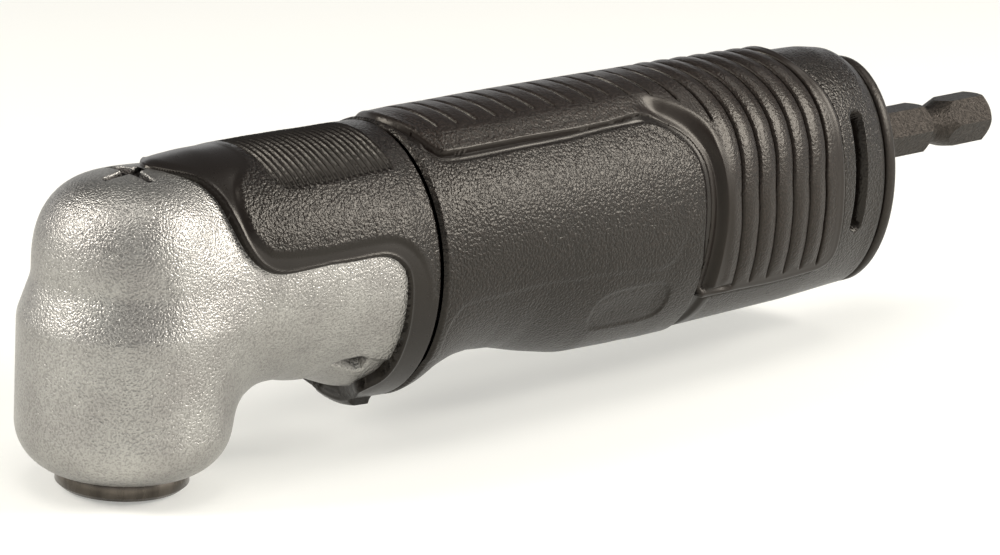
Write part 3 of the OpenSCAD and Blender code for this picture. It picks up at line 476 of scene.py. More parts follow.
def cross_mark(p):
    """Depth of the staked cross: two tapered grooves and a pit, with burrs thrown up beside them.

    Along a groove the depth goes by the 0.6th power of the share of its length that is left,
    and the burr beside it is a bell curve whose height wavers by two sines.
    """
    depth = np.zeros(p.shape[:-1])
    for a, b in ((p[..., 0], p[..., 1]), (p[..., 1], p[..., 0])):
        taper = np.clip(1 - np.abs(a) / MARK_REACH, 0, 1)
        width = MARK_HALF * (TIP_SHARE + (1 - TIP_SHARE) * taper)
        trough = taper ** 0.6 * (1 - step(np.abs(b), width * 0.6, width + 0.12)) * MARK_DEEP
        burr = bell(np.abs(b) - width - BURR_OFF, BURR_W) * step(taper, 0.02, 0.3) * BURR_H
        ragged = 0.6 + 0.4 * np.sin(5.1 * a + 2.3 * np.sign(b)) * np.sin(8.7 * a + 1.1)
        clear = step(np.abs(a), MARK_HALF, MARK_HALF + 0.5)
        depth = np.maximum(depth, trough) - burr * ragged * clear
    pit = (1 - step(np.hypot(p[..., 0], p[..., 1]), PIT_R, PIT_EDGE_R)) * PIT_DEEP
    return np.maximum(depth, pit)


# The head: its profile turned about the output axis, then moved out on to the fillet
HEAD_STEPS = 320
theta = np.linspace(0, 2 * np.pi, HEAD_STEPS, endpoint=False)
pr, pz = head_profile[:, 0][:, None], head_profile[:, 1][:, None]
head_points = np.stack([pr * np.cos(theta), pr * np.sin(theta), pz + 0 * theta], -1)
slope = np.gradient(head_profile, axis=0)
slope /= np.linalg.norm(slope, axis=1, keepdims=True)
nr, nz = -slope[:, 1][:, None], slope[:, 0][:, None]
head_normals = np.stack([nr * np.cos(theta), nr * np.sin(theta), nz + 0 * theta], -1)
head_points, head_past = blended(head_points, head_normals, from_barrel)
# How dark the dirt and painted shade are in the staked mark and in the pockets
MARK_GRIME_AND_SHADE, POCKET_GRIME_AND_SHADE = 0.95, 0.85
on_crown = (head_profile[:, 0] < MARK_R) & (head_profile[:, 1] > 0)
grime = np.zeros(head_points.shape[:-1])
mark = cross_mark(head_points[on_crown])
head_points[on_crown, :, 2] -= mark
# Painted shade with dirt, darker where the mark is deeper
grime[on_crown] = MARK_GRIME_AND_SHADE * step(mark, 0.0, 0.3)
# Faces stay up to this far past the fillet's middle, so that the two skins overlap
OVERLAP = 0.45
head_quads = faces_of(len(head_profile), HEAD_STEPS, True)
head_quads = head_quads[(head_past.ravel() < OVERLAP)[head_quads].any(axis=1)]

# The barrel: its own oval from the output axis to under the collar's rear
BARREL_STEPS = 330
barrel_x = spaced((0, 20, 0.26), (20, 36.2, 0.25))
barrel_turn = turn_at(np.linspace(-HALF_ROUND, HALF_ROUND, BARREL_STEPS, endpoint=False))
bx, bt = np.meshgrid(barrel_x, barrel_turn, indexing="ij")


def bare_oval(x, turn):
    """The bare barrel's own skin."""
    return ring(x, turn, *bare_sizes(x))


barrel_points = bare_oval(bx, bt)
barrel_normals = outward(bare_oval, bx, bt)
# Pointed pocket, and a crease that leads to it, cast into each flank above the chin
bl = np.abs(np.interp(np.abs(bt), turn_table, length_table))
POCKET_DEEP, CREASE_DEEP = 1.3, 0.3
pocket = np.array([
    (25.0, 40.1), (28.7, 36.9), (29.7, 37.0), (30.2, 38.0), (30.2, 39.6), (29.4, 40.2)])
pocketed = step(depth_in(bx, bl, pocket), -0.2, 0.35)
barrel_points -= barrel_normals * (POCKET_DEEP * pocketed)[..., None]
past_crease = bl - np.interp(bx, [21.5, 23.2, 25.9, 28.8], [44.6, 42.5, 39.0, 37.0])
flank_crease = CREASE_DEEP * step(past_crease, -0.5, 0.3) * step(bx, 21.5, 24)
flank_crease = flank_crease * (1 - step(past_crease, 0.5, 5))
barrel_points -= barrel_normals * flank_crease[..., None]
barrel_points, barrel_past = blended(barrel_points, barrel_normals, from_head)
barrel_quads = faces_of(len(barrel_x), len(barrel_turn), True)
barrel_quads = barrel_quads[(barrel_past.ravel() < OVERLAP)[barrel_quads].any(axis=1)]

cast_head = add_piece(
    "cast_head", np.concatenate([head_points.reshape(-1, 3), barrel_points.reshape(-1, 3)]),
    np.concatenate([head_quads, barrel_quads[:, ::-1] + head_points[..., 0].size]), cast_skin,
    grime=np.concatenate([grime.ravel(), POCKET_GRIME_AND_SHADE * pocketed.ravel()]))
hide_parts("head_housing")

# Front collar. A moulded shell of glass-filled nylon over the barrel, with a smooth rim round
# its window, fine ribs over the top and a wedge under the chin.
GRAIN_MM = 0.38  # spark-eroded grain, as coarse as it shows in the photograph
SHADES = 90.0  # per metre: patches of about 11 mm that are a shade lighter or darker


def moulded(name, code, grain_mm, tilt, rough_low, rough_high):
    """A moulded black plastic or rubber with a spark-eroded grain.

    The grain's height is its size times the tilt, and it speckles the skin where light rakes it.
    """
    made = bpy.data.materials.new(name)
    tree = empty_tree(made)
    where = add_node(tree, "ShaderNodeTexCoord")
    # A noise of scale one has humps about one unit apart, so the scale comes from the grain
    grain = add_node(tree, "ShaderNodeTexNoise", {"Scale": 1.05 / (grain_mm * MM), "Detail": 1.0},
                     {"Vector": (where, "Object")})
    shade = add_node(tree, "ShaderNodeTexNoise", {"Scale": SHADES, "Detail": 3.0},
                     {"Vector": (where, "Object")})
    # The mark "grain" is 1 on the grained skin and 0 on rims, ledges and channels
    grained = add_node(tree, "ShaderNodeAttribute", attribute_name="grain")
    tint = add_node(tree, "ShaderNodeMapRange", {"To Min": 0.8, "To Max": 1.25},
                    {"Value": (shade, "Fac")})
    plain = add_node(tree, "ShaderNodeMixRGB", {"Fac": 1.0, "Color1": linear(code)},
                     {"Color2": (tint, "Result")}, blend_type="MULTIPLY")
    # Painted glints and shade on the grain: its tops paler and its hollows darker, as where light
    # catches it
    glint_fleck = add_node(tree, "ShaderNodeMapRange",
                     {"From Min": 0.42, "From Max": 0.68, "To Min": 0.55, "To Max": 2.0},
                     {"Value": (grain, "Fac")})
    glint_flecked = add_node(tree, "ShaderNodeMixRGB", {"Fac": 1.0},
                       {"Color1": (plain, "Color"), "Color2": (glint_fleck, "Result")},
                       blend_type="MULTIPLY")
    colour = add_node(tree, "ShaderNodeMixRGB", links={
        "Fac": (grained, "Fac"), "Color1": (plain, "Color"), "Color2": (glint_flecked, "Color")})
    rough = add_node(tree, "ShaderNodeMapRange", {"To Min": rough_low, "To Max": rough_high},
                     {"Value": (grain, "Fac")})
    height = add_node(tree, "ShaderNodeMath", links={0: (grain, "Fac"), 1: (grained, "Fac")},
                      operation="MULTIPLY")
    bump = add_node(tree, "ShaderNodeBump", {"Strength": 1.0, "Distance": tilt * grain_mm * MM},
                    {"Height": (height, "Value")})
    # The IOR is under the 1.5 of the bulk, because the grain swallows part of the reflection
    shader = add_node(tree, "ShaderNodeBsdfPrincipled",
                      {"IOR": 1.385, "Specular Tint": (1.0, 0.94, 0.84, 1.0)},
                      {"Base Color": (colour, "Color"), "Roughness": (rough, "Result"),
                       "Normal": (bump, "Normal")})
    add_node(tree, "ShaderNodeOutputMaterial", links={"Surface": (shader, "BSDF")})
    return made


# Glass-filled nylon: black with a warm, fairly sharp sheen that the grain breaks up
nylon_skin = moulded("grained_nylon", "#15110F", GRAIN_MM, 0.42, 0.25, 0.33)
# Edge of the collar from the top down its front, along the window and under the chin: x, length
collar_edge = flowing(
    (1.9, 0), (2.3, 1.6), (3.3, 3.4), (4.9, 5.2), (6.2, 6.8), (6.9, 8.6), (7.5, 10.8), (8.0, 14.0),
    (8.7, 17.4), (9.9, 20.0), (11.4, 21.5), (13.0, 22.3), (15.5, 22.5), (22.0, 22.1), (27.3, 21.0),
    (29.4, 20.8), (30.9, 21.2), (32.1, 22.3), (32.5, 23.5), (32.7, 25.2), (32.9, 29.1), (33.0, 32.9),
    (33.0, 36.0), (32.6, 38.5), (31.6, 40.6), (31.3, 42.5), (32.6, 45.0), (33.2, 48.0))
collar_outline = np.concatenate([
    [(60, -30), (1.9, -30)], collar_edge, [(33.2, HALF_ROUND + 20), (60, HALF_ROUND + 20)]])


def both_sides(half):
    """Lengths from the top on both sides, mirrored from one side's, with the top once."""
    return np.concatenate([-half[:0:-1], half])


SNAP = 0.13


def skin_to_edge(x, length, outline, last_x):
    """The outer form over a grid of x and signed length, with a smooth edge along an outline.

    Points nearer to the outline than SNAP, in front of last_x, move on to it, so that the edge
    runs smoothly. Gives x, length from the top, depth inside the outline, points and normals.
    """
    side = np.where(length < 0, -1, 1)
    depth, edge_x, edge_length = nearest(x, np.abs(length), outline)
    close = (np.abs(depth) < SNAP) & (x < last_x)
    x, length = np.where(close, edge_x, x), np.where(close, edge_length * side, length)
    turn = turn_at(length)
    return x, np.abs(length), np.where(close, 0, depth), oval(x, turn), outward(oval, x, turn)


def kept_faces(quads, depth, skirt):
    """The quads that lie inside the outline or no further out than the skirt, turned outwards."""
    keep = depth.ravel() > -skirt
    return quads[keep[quads].all(axis=1)][:, ::-1]


# Ribs over the top, in millimetres behind the output axis
RIB_PITCH, RIB_FIRST, RIB_LAST, RIB_DEEP = 0.98, 15.5, 34.12, 0.5
collar_x = spaced((0.9, 14, 0.19), (14.03, 35, RIB_PITCH / 8), (35, 38.01, 0.2))
collar_lengths = both_sides(spaced((0, 18, 0.3), (18, 26, 0.2), (26, HALF_ROUND, 0.36)))
# The collar's grid: x, length from the top, depth inside the edge, points and normals
cx, cl, inside, cp, cn = skin_to_edge(
    *np.meshgrid(collar_x, collar_lengths, indexing="ij"), collar_outline, 36)
# A bead along the edge, a smooth band behind it, and the grained pillow that rises from the
# band. All heights are over the outer form, and the skin is that form moved by their sum.
EDGE_W, EDGE_DROP, BEAD_H, PILLOW_H = 0.34, 0.55, 0.1, 0.34
pillow = np.concatenate([[(14.4, -9)], flowing(
    (14.3, 0), (14.2, 3.5), (13.6, 5.6), (12.1, 6.9), (10.4, 8.8), (9.5, 11.0), (9.3, 13.6),
    (9.8, 16.6), (11.4, 18.8), (13.3, 19.7), (20.4, 20.2), (26.0, 19.2), (30.5, 18.6), (33.5, 20.0),
    (35.5, 23.0), (36.4, 27.0)), [(60, 28), (60, -9)]])
in_pillow = depth_in(cx, cl, pillow)
bead = BEAD_H * bell(inside - EDGE_W, 0.2)
edge_round = -EDGE_DROP * (1 - np.clip(inside / EDGE_W, 0, 1)) ** 2
# Over the crown the edge thins out towards its tip, over a wider band
TIP_W = 2.2
edge_round = edge_round - EDGE_DROP * (1 - step(cl, 2, 6)) * (1 - np.clip(inside / TIP_W, 0, 1)) ** 2
# Outside the edge a skirt falls steeply to the barrel, and shows as the shell's thickness
SKIRT_SLOPE, COLLAR_SKIRT = 4.0, 0.45
lip = np.where(inside < 0, SKIRT_SLOPE * inside + np.minimum(edge_round, -EDGE_DROP), edge_round)
lip = lip + bead
# The pillow is lower over the top, under the ribs, and runs out before the seam
rise = PILLOW_H * step(in_pillow, -0.4, 0.9) * (0.3 + 0.7 * step(cl, 5.0, 10.5))
rise = rise * (1 - step(cx, 33, 37.5))
# The ribs are cut down from the pillow in a wave, and end on a line down each side
rib_wave = 0.5 - 0.5 * np.cos(2 * np.pi * (cx - RIB_FIRST) / RIB_PITCH)
rib_end = np.interp(cx, [15.4, 16.8, 18.0, 24.1, 29.4, 33.3], [9.2, 10.8, 11.0, 10.7, 10.0, 9.7])
rib_zone = (cx > RIB_FIRST) & (cx < RIB_LAST)
ribs = -RIB_DEEP * rib_wave ** 0.6 * rib_zone * (1 - step(cl, rib_end - 0.5, rib_end + 0.15))
SEAM_DROP, WEDGE_W, WEDGE_PROUD = 0.4, 3.4, 0.95
seam_round = -SEAM_DROP * step(cx, 37.4, 38.0) ** 2
# The wedge under the chin stands proud, with a ramp at its front and an end before the seam
across = step(WEDGE_W - np.abs(cp[..., 1]), -0.05, 0.25) * (cp[..., 2] < 0)
ramp = step(cx, 33.0, 34.4) * (1 - step(cx, 36.6, 37.0))
collar_h = lip + rise + ribs + seam_round + WEDGE_PROUD * across * ramp
# Grain on the pillow alone, and little of it between the ribs
collar_grain = step(in_pillow, 0.0, 1.2) * np.where(rib_zone & (cl < rib_end), 0.25, 1.0)
collar_quads = kept_faces(faces_of(*cx.shape, True), inside, COLLAR_SKIRT)
front_collar = add_piece("front_collar_shell", cp + cn * collar_h[..., None], collar_quads,
                         nylon_skin, grain=collar_grain)
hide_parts("front_collar")

# Grip body. A tube moulded in the same nylon, with the finger recess below, a raised panel on
# each flank, an oval dish under it, and a slot on each side for the end cap's snaps.
body_x = spaced((38.28, 42.2, 0.15), (42.2, 66, 0.5), (66, 76, 0.3), (76, 89, 0.2),
                (89, 112, 0.6), (112, 118.8, 0.15), (118.8, 122.0, 0.4), (122.0, 122.52, 0.1))
body_lengths = both_sides(spaced(
    (0, 8, 0.6), (8, 12, 0.17), (12, 28, 0.33), (28, 38.5, 0.27), (38.5, HALF_ROUND, 0.5)))
# The body's grid: x, length from the top, turn, points and normals
gx, gl = np.meshgrid(body_x, body_lengths, indexing="ij")
gt = turn_at(gl)
gl, gp, gn = np.abs(gl), oval(gx, gt), outward(oval, gx, gt)
# The panel, from the crease round the saddle's corner to the rim at its rear: x, length
crease_line = flowing((38.9, 0), (39.1, 2.2), (39.4, 4.0), (39.9, 5.9), (40.3, 7.3), (40.9, 8.4),
                      (41.7, 9.4), (42.6, 9.9), (44.5, 10.2), (48.1, 10.4), (62.1, 10.2), (67.8, 9.8),
                      (73.5, 9.6), (77.0, 9.6))
rim_line = flowing((77.6, 9.7), (79.0, 10.2), (80.3, 10.9), (81.8, 12.2), (83.3, 13.8), (84.3, 15.5),
                   (84.8, 17.5), (85.0, 20.0), (84.9, 26.3), (85.4, 30.1), (85.9, 34.0), (86.6, 40.0))
panel = np.concatenate([[(20, -9), (38.9, -9)], crease_line, rim_line, [(90, 60), (20, 60)]])
in_panel = depth_in(gx, gl, panel)
# The crease fades out where the rim begins, and the rim fades out down the flank
by_top = 1 - step(gl, 14, 22)
PANEL_H, CREASE_H, RIM_H, CHANNEL_H, LEDGE_H = 0.34, -0.22, 0.16, -0.5, -0.3
panel_rise = PANEL_H * step(in_panel, -0.1, 0.55)
panel_crease = CREASE_H * bell(in_panel + 0.12, 0.2) * (1 - step(gx, 76, 80))
panel_rim = RIM_H * bell(in_panel - 0.5, 0.3) * step(gx, 74, 79) * by_top
# The channel runs between the rim and the wrap, from where the saddle's ledge ends
channel = CHANNEL_H * step(-in_panel, -0.1, 0.7) * step(gx, 76, 81) * (1 - step(gx, 88, 89))
# The ledge under the saddle falls away to the saddle's foot
ledge = LEDGE_H * step(-in_panel, 0.15, 1.0) * (1 - step(gx, 74, 78)) * (gl > 7)
# A shallow step runs along the panel's foot, and the flank below it lies lower
FOOT_H, DISH_H, DISH_MORE_H = -0.13, -0.25, -0.2
foot = np.concatenate([[(20, 36)], flowing(
    (40.1, 36), (39.8, 32.5), (40.3, 30.3), (41.6, 29.2), (43.4, 29.2), (49.1, 30.3), (56.6, 29.7),
    (68.3, 28.6), (76.0, 29.2), (79.0, 28.6), (80.5, 26.6), (82.0, 23.0), (84.0, 21.0)),
    [(95, 20), (95, -9), (20, -9)]])
foot_drop = FOOT_H * (1 - step(depth_in(gx, gl, foot), -0.35, 0.3)) * (1 - step(gx, 78, 83))
dish_line = flowing((66.6, 36.4), (66.4, 34.4), (66.9, 32.9), (68.3, 31.8), (70.5, 31.4),
                    (74.5, 31.3), (78.2, 31.5), (79.9, 32.6), (80.5, 34.4), (80.3, 36.4),
                    (79.2, 37.6), (76.2, 38.0), (69.6, 38.1), (67.6, 37.7))
in_dish = depth_in(gx, gl, dish_line)
dish = DISH_H * step(in_dish, -0.1, 0.4) + DISH_MORE_H * step(in_dish, 0.3, 3.2)
# The slot has round ends: its depth goes by the distance to its middle line
SLOT_X, SLOT_HALF, SLOT_TOP, SLOT_LOW, SLOT_H = 116.75, 1.35, 14.0, 31.3, -2.6
slot_mid = np.clip(gl, SLOT_TOP + SLOT_HALF, SLOT_LOW - SLOT_HALF)
slot = SLOT_H * step(SLOT_HALF - np.hypot(gx - SLOT_X, gl - slot_mid), -0.06, 0.2)
# The overmould's outline, from the saddle's front along its low edge, down the wrap's front and
# round it: x, length. A moat runs in the body along the wrap's lower and rear edge.
saddle_edge = flowing((38.9, 0), (39.2, 1.8), (39.8, 3.6), (40.6, 5.6), (41.3, 7.3), (42.2, 8.6),
                      (43.6, 9.15), (48.7, 9.35), (62.6, 9.35), (70.9, 9.15), (74.0, 8.9),
                      (76.9, 8.7), (79.4, 9.0), (81.3, 10.2), (83.3, 11.8), (84.6, 13.4), (85.7, 15.4),
                      (86.3, 18.0), (86.4, 23.0), (86.2, 29.0), (86.4, 34.0), (86.9, 36.0))
wrap_edge = flowing((87.3, 36.15), (92.9, 36.0), (101.1, 36.4), (107.8, 36.3), (110.6, 36.1),
                    (112.4, 35.2), (113.2, 33.3), (112.9, 30.1), (112.4, 25.2), (112.3, 21.7),
                    (112.3, 18.0), (112.4, 15.0), (112.1, 12.4), (111.4, 9.6), (110.2, 6.6),
                    (109.2, 3.6), (108.8, 0))
grip_outline = np.concatenate([saddle_edge, wrap_edge, [(108.8, -9), (38.9, -9)]])
MOAT_H, FRONT_EDGE_H, REAR_EDGE_H = -0.6, -0.5, -0.3
moat = MOAT_H * bell(depth_in(gx, gl, grip_outline) + 0.25, 0.22) * step(gx, 88, 90)
# Both ends are rounded over: at the collar's seam, and at the end cap's groove
front_edge = FRONT_EDGE_H * (1 - step(gx, 38.2, 38.9)) ** 2
rear_edge = REAR_EDGE_H * step(gx, 122.0, 122.55) ** 2
# The skin is the outer form moved along its normals by the sum of these heights
body_h = (panel_rise + panel_crease + panel_rim + channel + ledge + moat + foot_drop + dish + slot
          + front_edge + rear_edge)
# No grain on the ledge, in the channel or in the slots, and a little less low down
on_ledge = (1 - step(in_panel, -0.1, 0.3)) * (gx < 90)
in_slot = step(-slot, 0.2, 1.0)
body_grain = (1 - on_ledge) * (1 - in_slot) * (1 - 0.2 * step(gl, 24, 30))
grip_body = add_piece("grip_body_shell", gp + gn * body_h[..., None],
                      faces_of(*gx.shape, True)[:, ::-1], nylon_skin,
                      grain=body_grain)
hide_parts("grip_body")

# Grip overmould. Soft thermoplastic rubber bonded over the body: a saddle along the top with
# short grooves, and a ribbed wrap that runs down both flanks at the rear.

# Soft rubber: a warmer black than the nylon's, with a duller sheen
rubber_skin = moulded("soft_grip_rubber", "#191310", GRAIN_MM, 0.32, 0.3, 0.38)
# Grooves, each with seven grid lines across it
GROOVE_PITCH, GROOVE_FIRST, GROOVES, GROOVE_HALF, GROOVE_DEEP = 3.353, 44.6, 20, 0.24, 0.45
groove_s = GROOVE_FIRST + GROOVE_PITCH * np.arange(GROOVES)
groove_lines = (groove_s[:, None] + np.array([-0.22, -0.14, -0.07, 0, 0.07, 0.14, 0.22])).ravel()
grip_s = np.sort(np.concatenate([groove_lines, spaced(
    (38.4, 42, 0.19), (42, 78, 0.42), (78, 90, 0.19), (90, 107, 0.42), (107, 115.2, 0.19))]))
grip_lengths = both_sides(spaced((0, 5, 0.45), (5, 12.5, 0.19), (12.5, 34, 0.42), (34, 38, 0.16)))
rs, rl = np.meshgrid(grip_s, grip_lengths, indexing="ij")
# The overmould's grid is even in groove space, whose lines rs lean forwards over the top as the
# grooves do. On the form they lie at rx.
lean = np.interp(np.abs(rl), [0, 2, 4, 6, 8, 10, 13, 17, 21.5, 28, 33, 36],
                 [-2.1, -1.8, -1.3, -0.7, -0.2, 0.2, 0.5, 0.35, -0.3, 0, 0.6, 0.9])
rx = rs + lean * np.clip(0.3 + (rs - GROOVE_FIRST) / 60, 0.1, 1)
rx, rl, in_grip, rp, rn = skin_to_edge(rx, rl, grip_outline, np.inf)
# Thickness over the outer form, the height of the low band at the wrap's front, and how far the
# edge starts below the form
GRIP_T, LOW_BAND, EDGE_UNDER, GRIP_SKIRT = 0.9, -0.42, 0.15, 0.42
# Saddle: a steep foot, a bevel two millimetres wide, and the flat top, with its nose rounded
saddle = np.interp(in_grip, [0, 0.3, 0.45, 2.5, 3.0], [-0.3, 0.4, 0.5, 0.88, GRIP_T])
NOSE_W, NOSE_FROM, NOSE_TO = 0.9, 4.5, 7.5
nose = GRIP_T * np.sqrt(np.clip(1 - (1 - np.clip(in_grip / NOSE_W, 0, 1)) ** 2, 0, 1))
saddle = saddle + (nose - saddle) * (1 - step(rl, NOSE_FROM, NOSE_TO))
# Wrap: rounded over at the bottom and the rear, and set back behind a low band at its front
ROUND_W = 0.95
quarter = np.sqrt(np.clip(1 - (1 - np.clip(in_grip / ROUND_W, 0, 1)) ** 2, 0, 1))
rounded = -EDGE_UNDER + (GRIP_T + 0.1) * quarter
# At the corner by the saddle the low band is narrower and climbs more gently than down the flank
corner = 1 - step(rl, 11.0, 16.0)
banded = step(in_grip, 0.6 + 0.5 * (1 - corner), 2.1 + 1.3 * corner)
banded = LOW_BAND + (GRIP_T - 0.05 - LOW_BAND) * banded
# Where the wrap's front and its rear part hold: the saddle gives way to them
at_front = step(rx, 76.5, 81.0) * (1 - step(rx, 90.5, 93.0)) * (1 - step(rl, 34.2, 35.2))
at_rear = step(rx, 88, 92)
grip_h = at_front * banded + (1 - at_front) * ((1 - at_rear) * saddle + at_rear * rounded)
grip_h = np.where(in_grip < 0, SKIRT_SLOPE * in_grip - EDGE_UNDER, grip_h)
# The grooves stop at these lengths from the top, the last six down both flanks
groove_ends = [5.0, 5.0, 5.0, 5.0, 5.1, 5.1, 5.2, 5.2, 5.4, 5.1, 5.6, 6.0, 7.7, 11.4] + [34.3] * 6
cut = np.zeros(rx.shape)
for k in range(GROOVES):
    near = np.hypot(rs - groove_s[k], np.clip(rl - groove_ends[k], 0, None))
    cut = np.maximum(cut, np.clip(1 - (near / GROOVE_HALF) ** 2, 0, 1))
# Between the grooves of the wrap the rubber swells a little
SWELL = 0.09
swell = -SWELL * np.cos(2 * np.pi * (rs - GROOVE_FIRST) / GROOVE_PITCH)
swell = swell * step(rs, 87.5, 90) * (1 - step(rs, 108.3, 109.5)) * (1 - step(rl, 33, 34.4))
grip_h = (grip_h - GROOVE_DEEP * cut * step(in_grip, 0.3, 1.0)
          + (swell - SWELL) * step(in_grip, 0.5, 1.5))
# Grain on the bevel and, weaker, on the top, with little of it in the grooves
on_bevel = step(in_grip, 0.3, 0.6) * (1 - step(in_grip, 2.4, 3.0)) * (1 - step(rx, 79, 82))
rubber_grain = np.clip(0.6 * step(in_grip, 1.6, 2.6) + on_bevel, 0, 1) * (1 - 0.8 * cut)
rubber_grain = rubber_grain * (1 - at_front * (1 - step(in_grip, 2.8, 3.8)))
grip_quads = kept_faces(faces_of(*rx.shape, False), in_grip, GRIP_SKIRT)
grip = add_piece("grip_rubber", rp + rn * grip_h[..., None], grip_quads, rubber_skin,
                 grain=rubber_grain)
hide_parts("grip_overmould")

# End cap. A thin moulded disc that snaps into the body's rear, with its edge rounded over and
# a dark groove in front of it.
CAP_FRONT, CAP_BACK, CAP_STEPS = 122.85, 125.0, 240
SHAFT_HOLE, HOLE_DEEP = 4.3, 3.0
# Place along the axis and inset from the body's rear end: the groove, the rim and the flat back
cap_profile = np.array([
    (CAP_FRONT, 3.0), (CAP_FRONT, 0.25), (CAP_FRONT + 0.25, 0.0), (CAP_BACK - 0.8, 0.0),
    (CAP_BACK - 0.45, 0.12), (CAP_BACK - 0.18, 0.38), (CAP_BACK - 0.04, 0.7), (CAP_BACK, 1.05),
    (CAP_BACK, 2.4), (CAP_BACK, 3.8), (CAP_BACK, 5.4)])
cap_turn = turn_at(np.linspace(-HALF_ROUND, HALF_ROUND, CAP_STEPS, endpoint=False))
cap_rim = oval(np.full(CAP_STEPS, SEAM_X + BODY_LEN), cap_turn)
# The inset goes square to the rim within the disc, by the body's normals a little in front of it
FACING_X = 120.0
inwards = outward(oval, np.full(CAP_STEPS, FACING_X), cap_turn) * (0, 1, 1)
inwards /= np.linalg.norm(inwards, axis=1, keepdims=True)
cap_points = cap_rim[None] - inwards[None] * cap_profile[:, 1][:, None, None]
cap_points[..., 0] = cap_profile[:, 0][:, None]
# The back closes in to the shaft's round hole, and the hole's wall runs forwards
hole = np.stack([np.full(CAP_STEPS, CAP_BACK), -SHAFT_HOLE * np.sin(cap_turn),
                 SHAFT_HOLE * np.cos(cap_turn)], -1)
cap_points = np.concatenate([cap_points, hole[None], (hole - (HOLE_DEEP, 0, 0))[None]])
# Nylon from a duller mould: a softer, greyer sheen than the body's, with weak grain
CAP_GRAIN = 0.4
cap_skin = moulded("end_cap_nylon", "#1A1512", GRAIN_MM, 0.3, 0.34, 0.44)
cap = add_piece("end_cap_disc", cap_points, faces_of(len(cap_points), CAP_STEPS, True)[:, ::-1],
                cap_skin, grain=np.full(cap_points[..., 0].shape, CAP_GRAIN))
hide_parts("end_cap")

# Steel and bronze pieces. These keep their built shapes: the hex shank, the socket's sleeve,
# and the gears, races, rollers and clips inside. Each gets the finish of its real metal, and the
# sleeve painted reflections too.
def worked_metal(name, code, rough_low, rough_high, marks_per_m, stretch_by, bump_mm,
                 contrast=0.25):
    """Machined or treated metal: fine marks, stretched by a scale per axis, over a plain colour.

    The marks vary the roughness, the height and, by the contrast, the colour.
    """
    made = bpy.data.materials.new(name)
    tree = empty_tree(made)
    where = add_node(tree, "ShaderNodeTexCoord")
    placed = add_node(tree, "ShaderNodeMapping", {"Scale": stretch_by},
                      {"Vector": (where, "Object")})
    marks = add_node(tree, "ShaderNodeTexNoise",
                     {"Scale": marks_per_m, "Detail": 4.0, "Roughness": 0.6},
                     {"Vector": (placed, "Vector")})
    rough = add_node(tree, "ShaderNodeMapRange", {"To Min": rough_low, "To Max": rough_high},
                     {"Value": (marks, "Fac")})
    tint = add_node(tree, "ShaderNodeMapRange", {"To Min": 1 - contrast, "To Max": 1 + contrast},
                    {"Value": (marks, "Fac")})
    colour = add_node(tree, "ShaderNodeMixRGB", {"Fac": 1.0, "Color1": linear(code)},
                      {"Color2": (tint, "Result")}, blend_type="MULTIPLY")
    bump = add_node(tree, "ShaderNodeBump", {"Strength": 0.5, "Distance": bump_mm * MM},
                    {"Height": (marks, "Fac")})
    shader = add_node(tree, "ShaderNodeBsdfPrincipled", {"Metallic": 1.0},
                      {"Base Color": (colour, "Color"), "Roughness": (rough, "Result"),
                       "Normal": (bump, "Normal")})
    add_node(tree, "ShaderNodeOutputMaterial", links={"Surface": (shader, "BSDF")})
    return made


# Phosphate leaves a dark, dry and speckled skin, with a spot about every half millimetre
shank_skin = worked_metal("phosphated_steel", "#3B3733", 0.34, 0.6, 2200.0, (1, 1, 1), 0.45, 1.3)
# Turned steel with painted reflections: a streaked, brownish gloss, whose dark colour and tall streaks
# stand for the dark and light bands that the sleeve reflects
sleeve_reflection_skin = worked_metal("turned_steel_painted_reflections", "#5F5952", 0.2, 0.36, 700.0, (0.3, 0.3, 0.05), 0.04, 1.5)
# Hardened and satin on the teeth, nearly a mirror where ground, warm and streaked in bronze
gear_skin = worked_metal("hardened_steel", "#8E8D8C", 0.3, 0.42, 1500.0, (1, 1, 1), 0.03)
race_skin = worked_metal("ground_bearing_steel", "#C4C4C6", 0.08, 0.16, 1800.0, (1, 1, 6), 0.005)
bronze_skin = worked_metal("turned_bronze", "#B08A52", 0.28, 0.4, 1500.0, (1, 1, 5), 0.02)
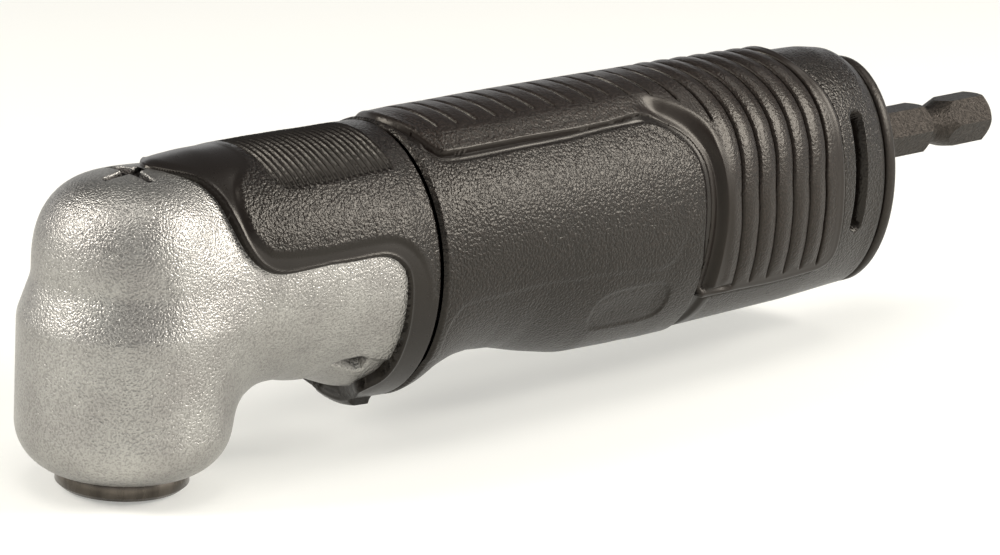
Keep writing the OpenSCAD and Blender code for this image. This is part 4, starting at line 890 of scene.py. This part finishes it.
# Black oxide is a thin dark film with the steel's own soft shine, and nickel is bright and pale
oxide_skin = worked_metal("black_oxide_steel", "#4A4A4C", 0.35, 0.5, 1800.0, (1, 1, 1), 0.03)
magnet_skin = worked_metal("nickel_plated_magnet", "#B4B3B0", 0.15, 0.25, 1500.0, (1, 1, 1), 0.01)
# Seal rubber is an even, dull black
seal_skin = moulded("black_seal_rubber", "#1C1B1B", 0.3, 0.3, 0.4, 0.5)
metal_by_slot = {
    "shank_steel": shank_skin, "bright_steel": sleeve_reflection_skin, "gear_steel": gear_skin,
    "bearing_steel": race_skin, "bronze": bronze_skin, "screw_steel": oxide_skin,
    "magnet": magnet_skin, "seal_rubber": seal_skin}
for entry in frame["record"]["subparts"]:
    if entry["material_slot"] in metal_by_slot:
        node = frame["nodes"][entry["node"]]
        node.data.materials.clear()
        node.data.materials.append(metal_by_slot[entry["material_slot"]])

# Sleeve face. The steel sleeve runs on up into the head's mouth, so its turned face is one thin
# skin over the bit holder, from the chamfer at the nose to inside the mouth.
SKIN_R, SKIN_T, SKIN_LOW, SKIN_HIGH, SKIN_EDGE, SKIN_STEPS = 8.16, 0.06, -24.34, -22.5, 0.05, 240
skin_turn = np.linspace(0, 2 * np.pi, SKIN_STEPS, endpoint=False)
# Radius and height round the closed section, turned about the output axis
skin_profile = np.array([
    (SKIN_R - SKIN_T, SKIN_LOW), (SKIN_R, SKIN_LOW + SKIN_EDGE), (SKIN_R, SKIN_HIGH - SKIN_EDGE),
    (SKIN_R - SKIN_T, SKIN_HIGH), (SKIN_R - SKIN_T, SKIN_LOW)])
sr, sz = skin_profile[:, 0][:, None], skin_profile[:, 1][:, None]
skin_points = np.stack([sr * np.cos(skin_turn), sr * np.sin(skin_turn), sz + 0 * skin_turn], -1)
# Its material holds painted reflections in its dark colour and streaks
sleeve_face = add_piece("turned_sleeve_face", skin_points,
                        faces_of(len(skin_profile), SKIN_STEPS, True)[:, ::-1], sleeve_reflection_skin,
                        body="output")

# The plain view transform.
bpy.context.scene.view_settings.view_transform = "Standard"
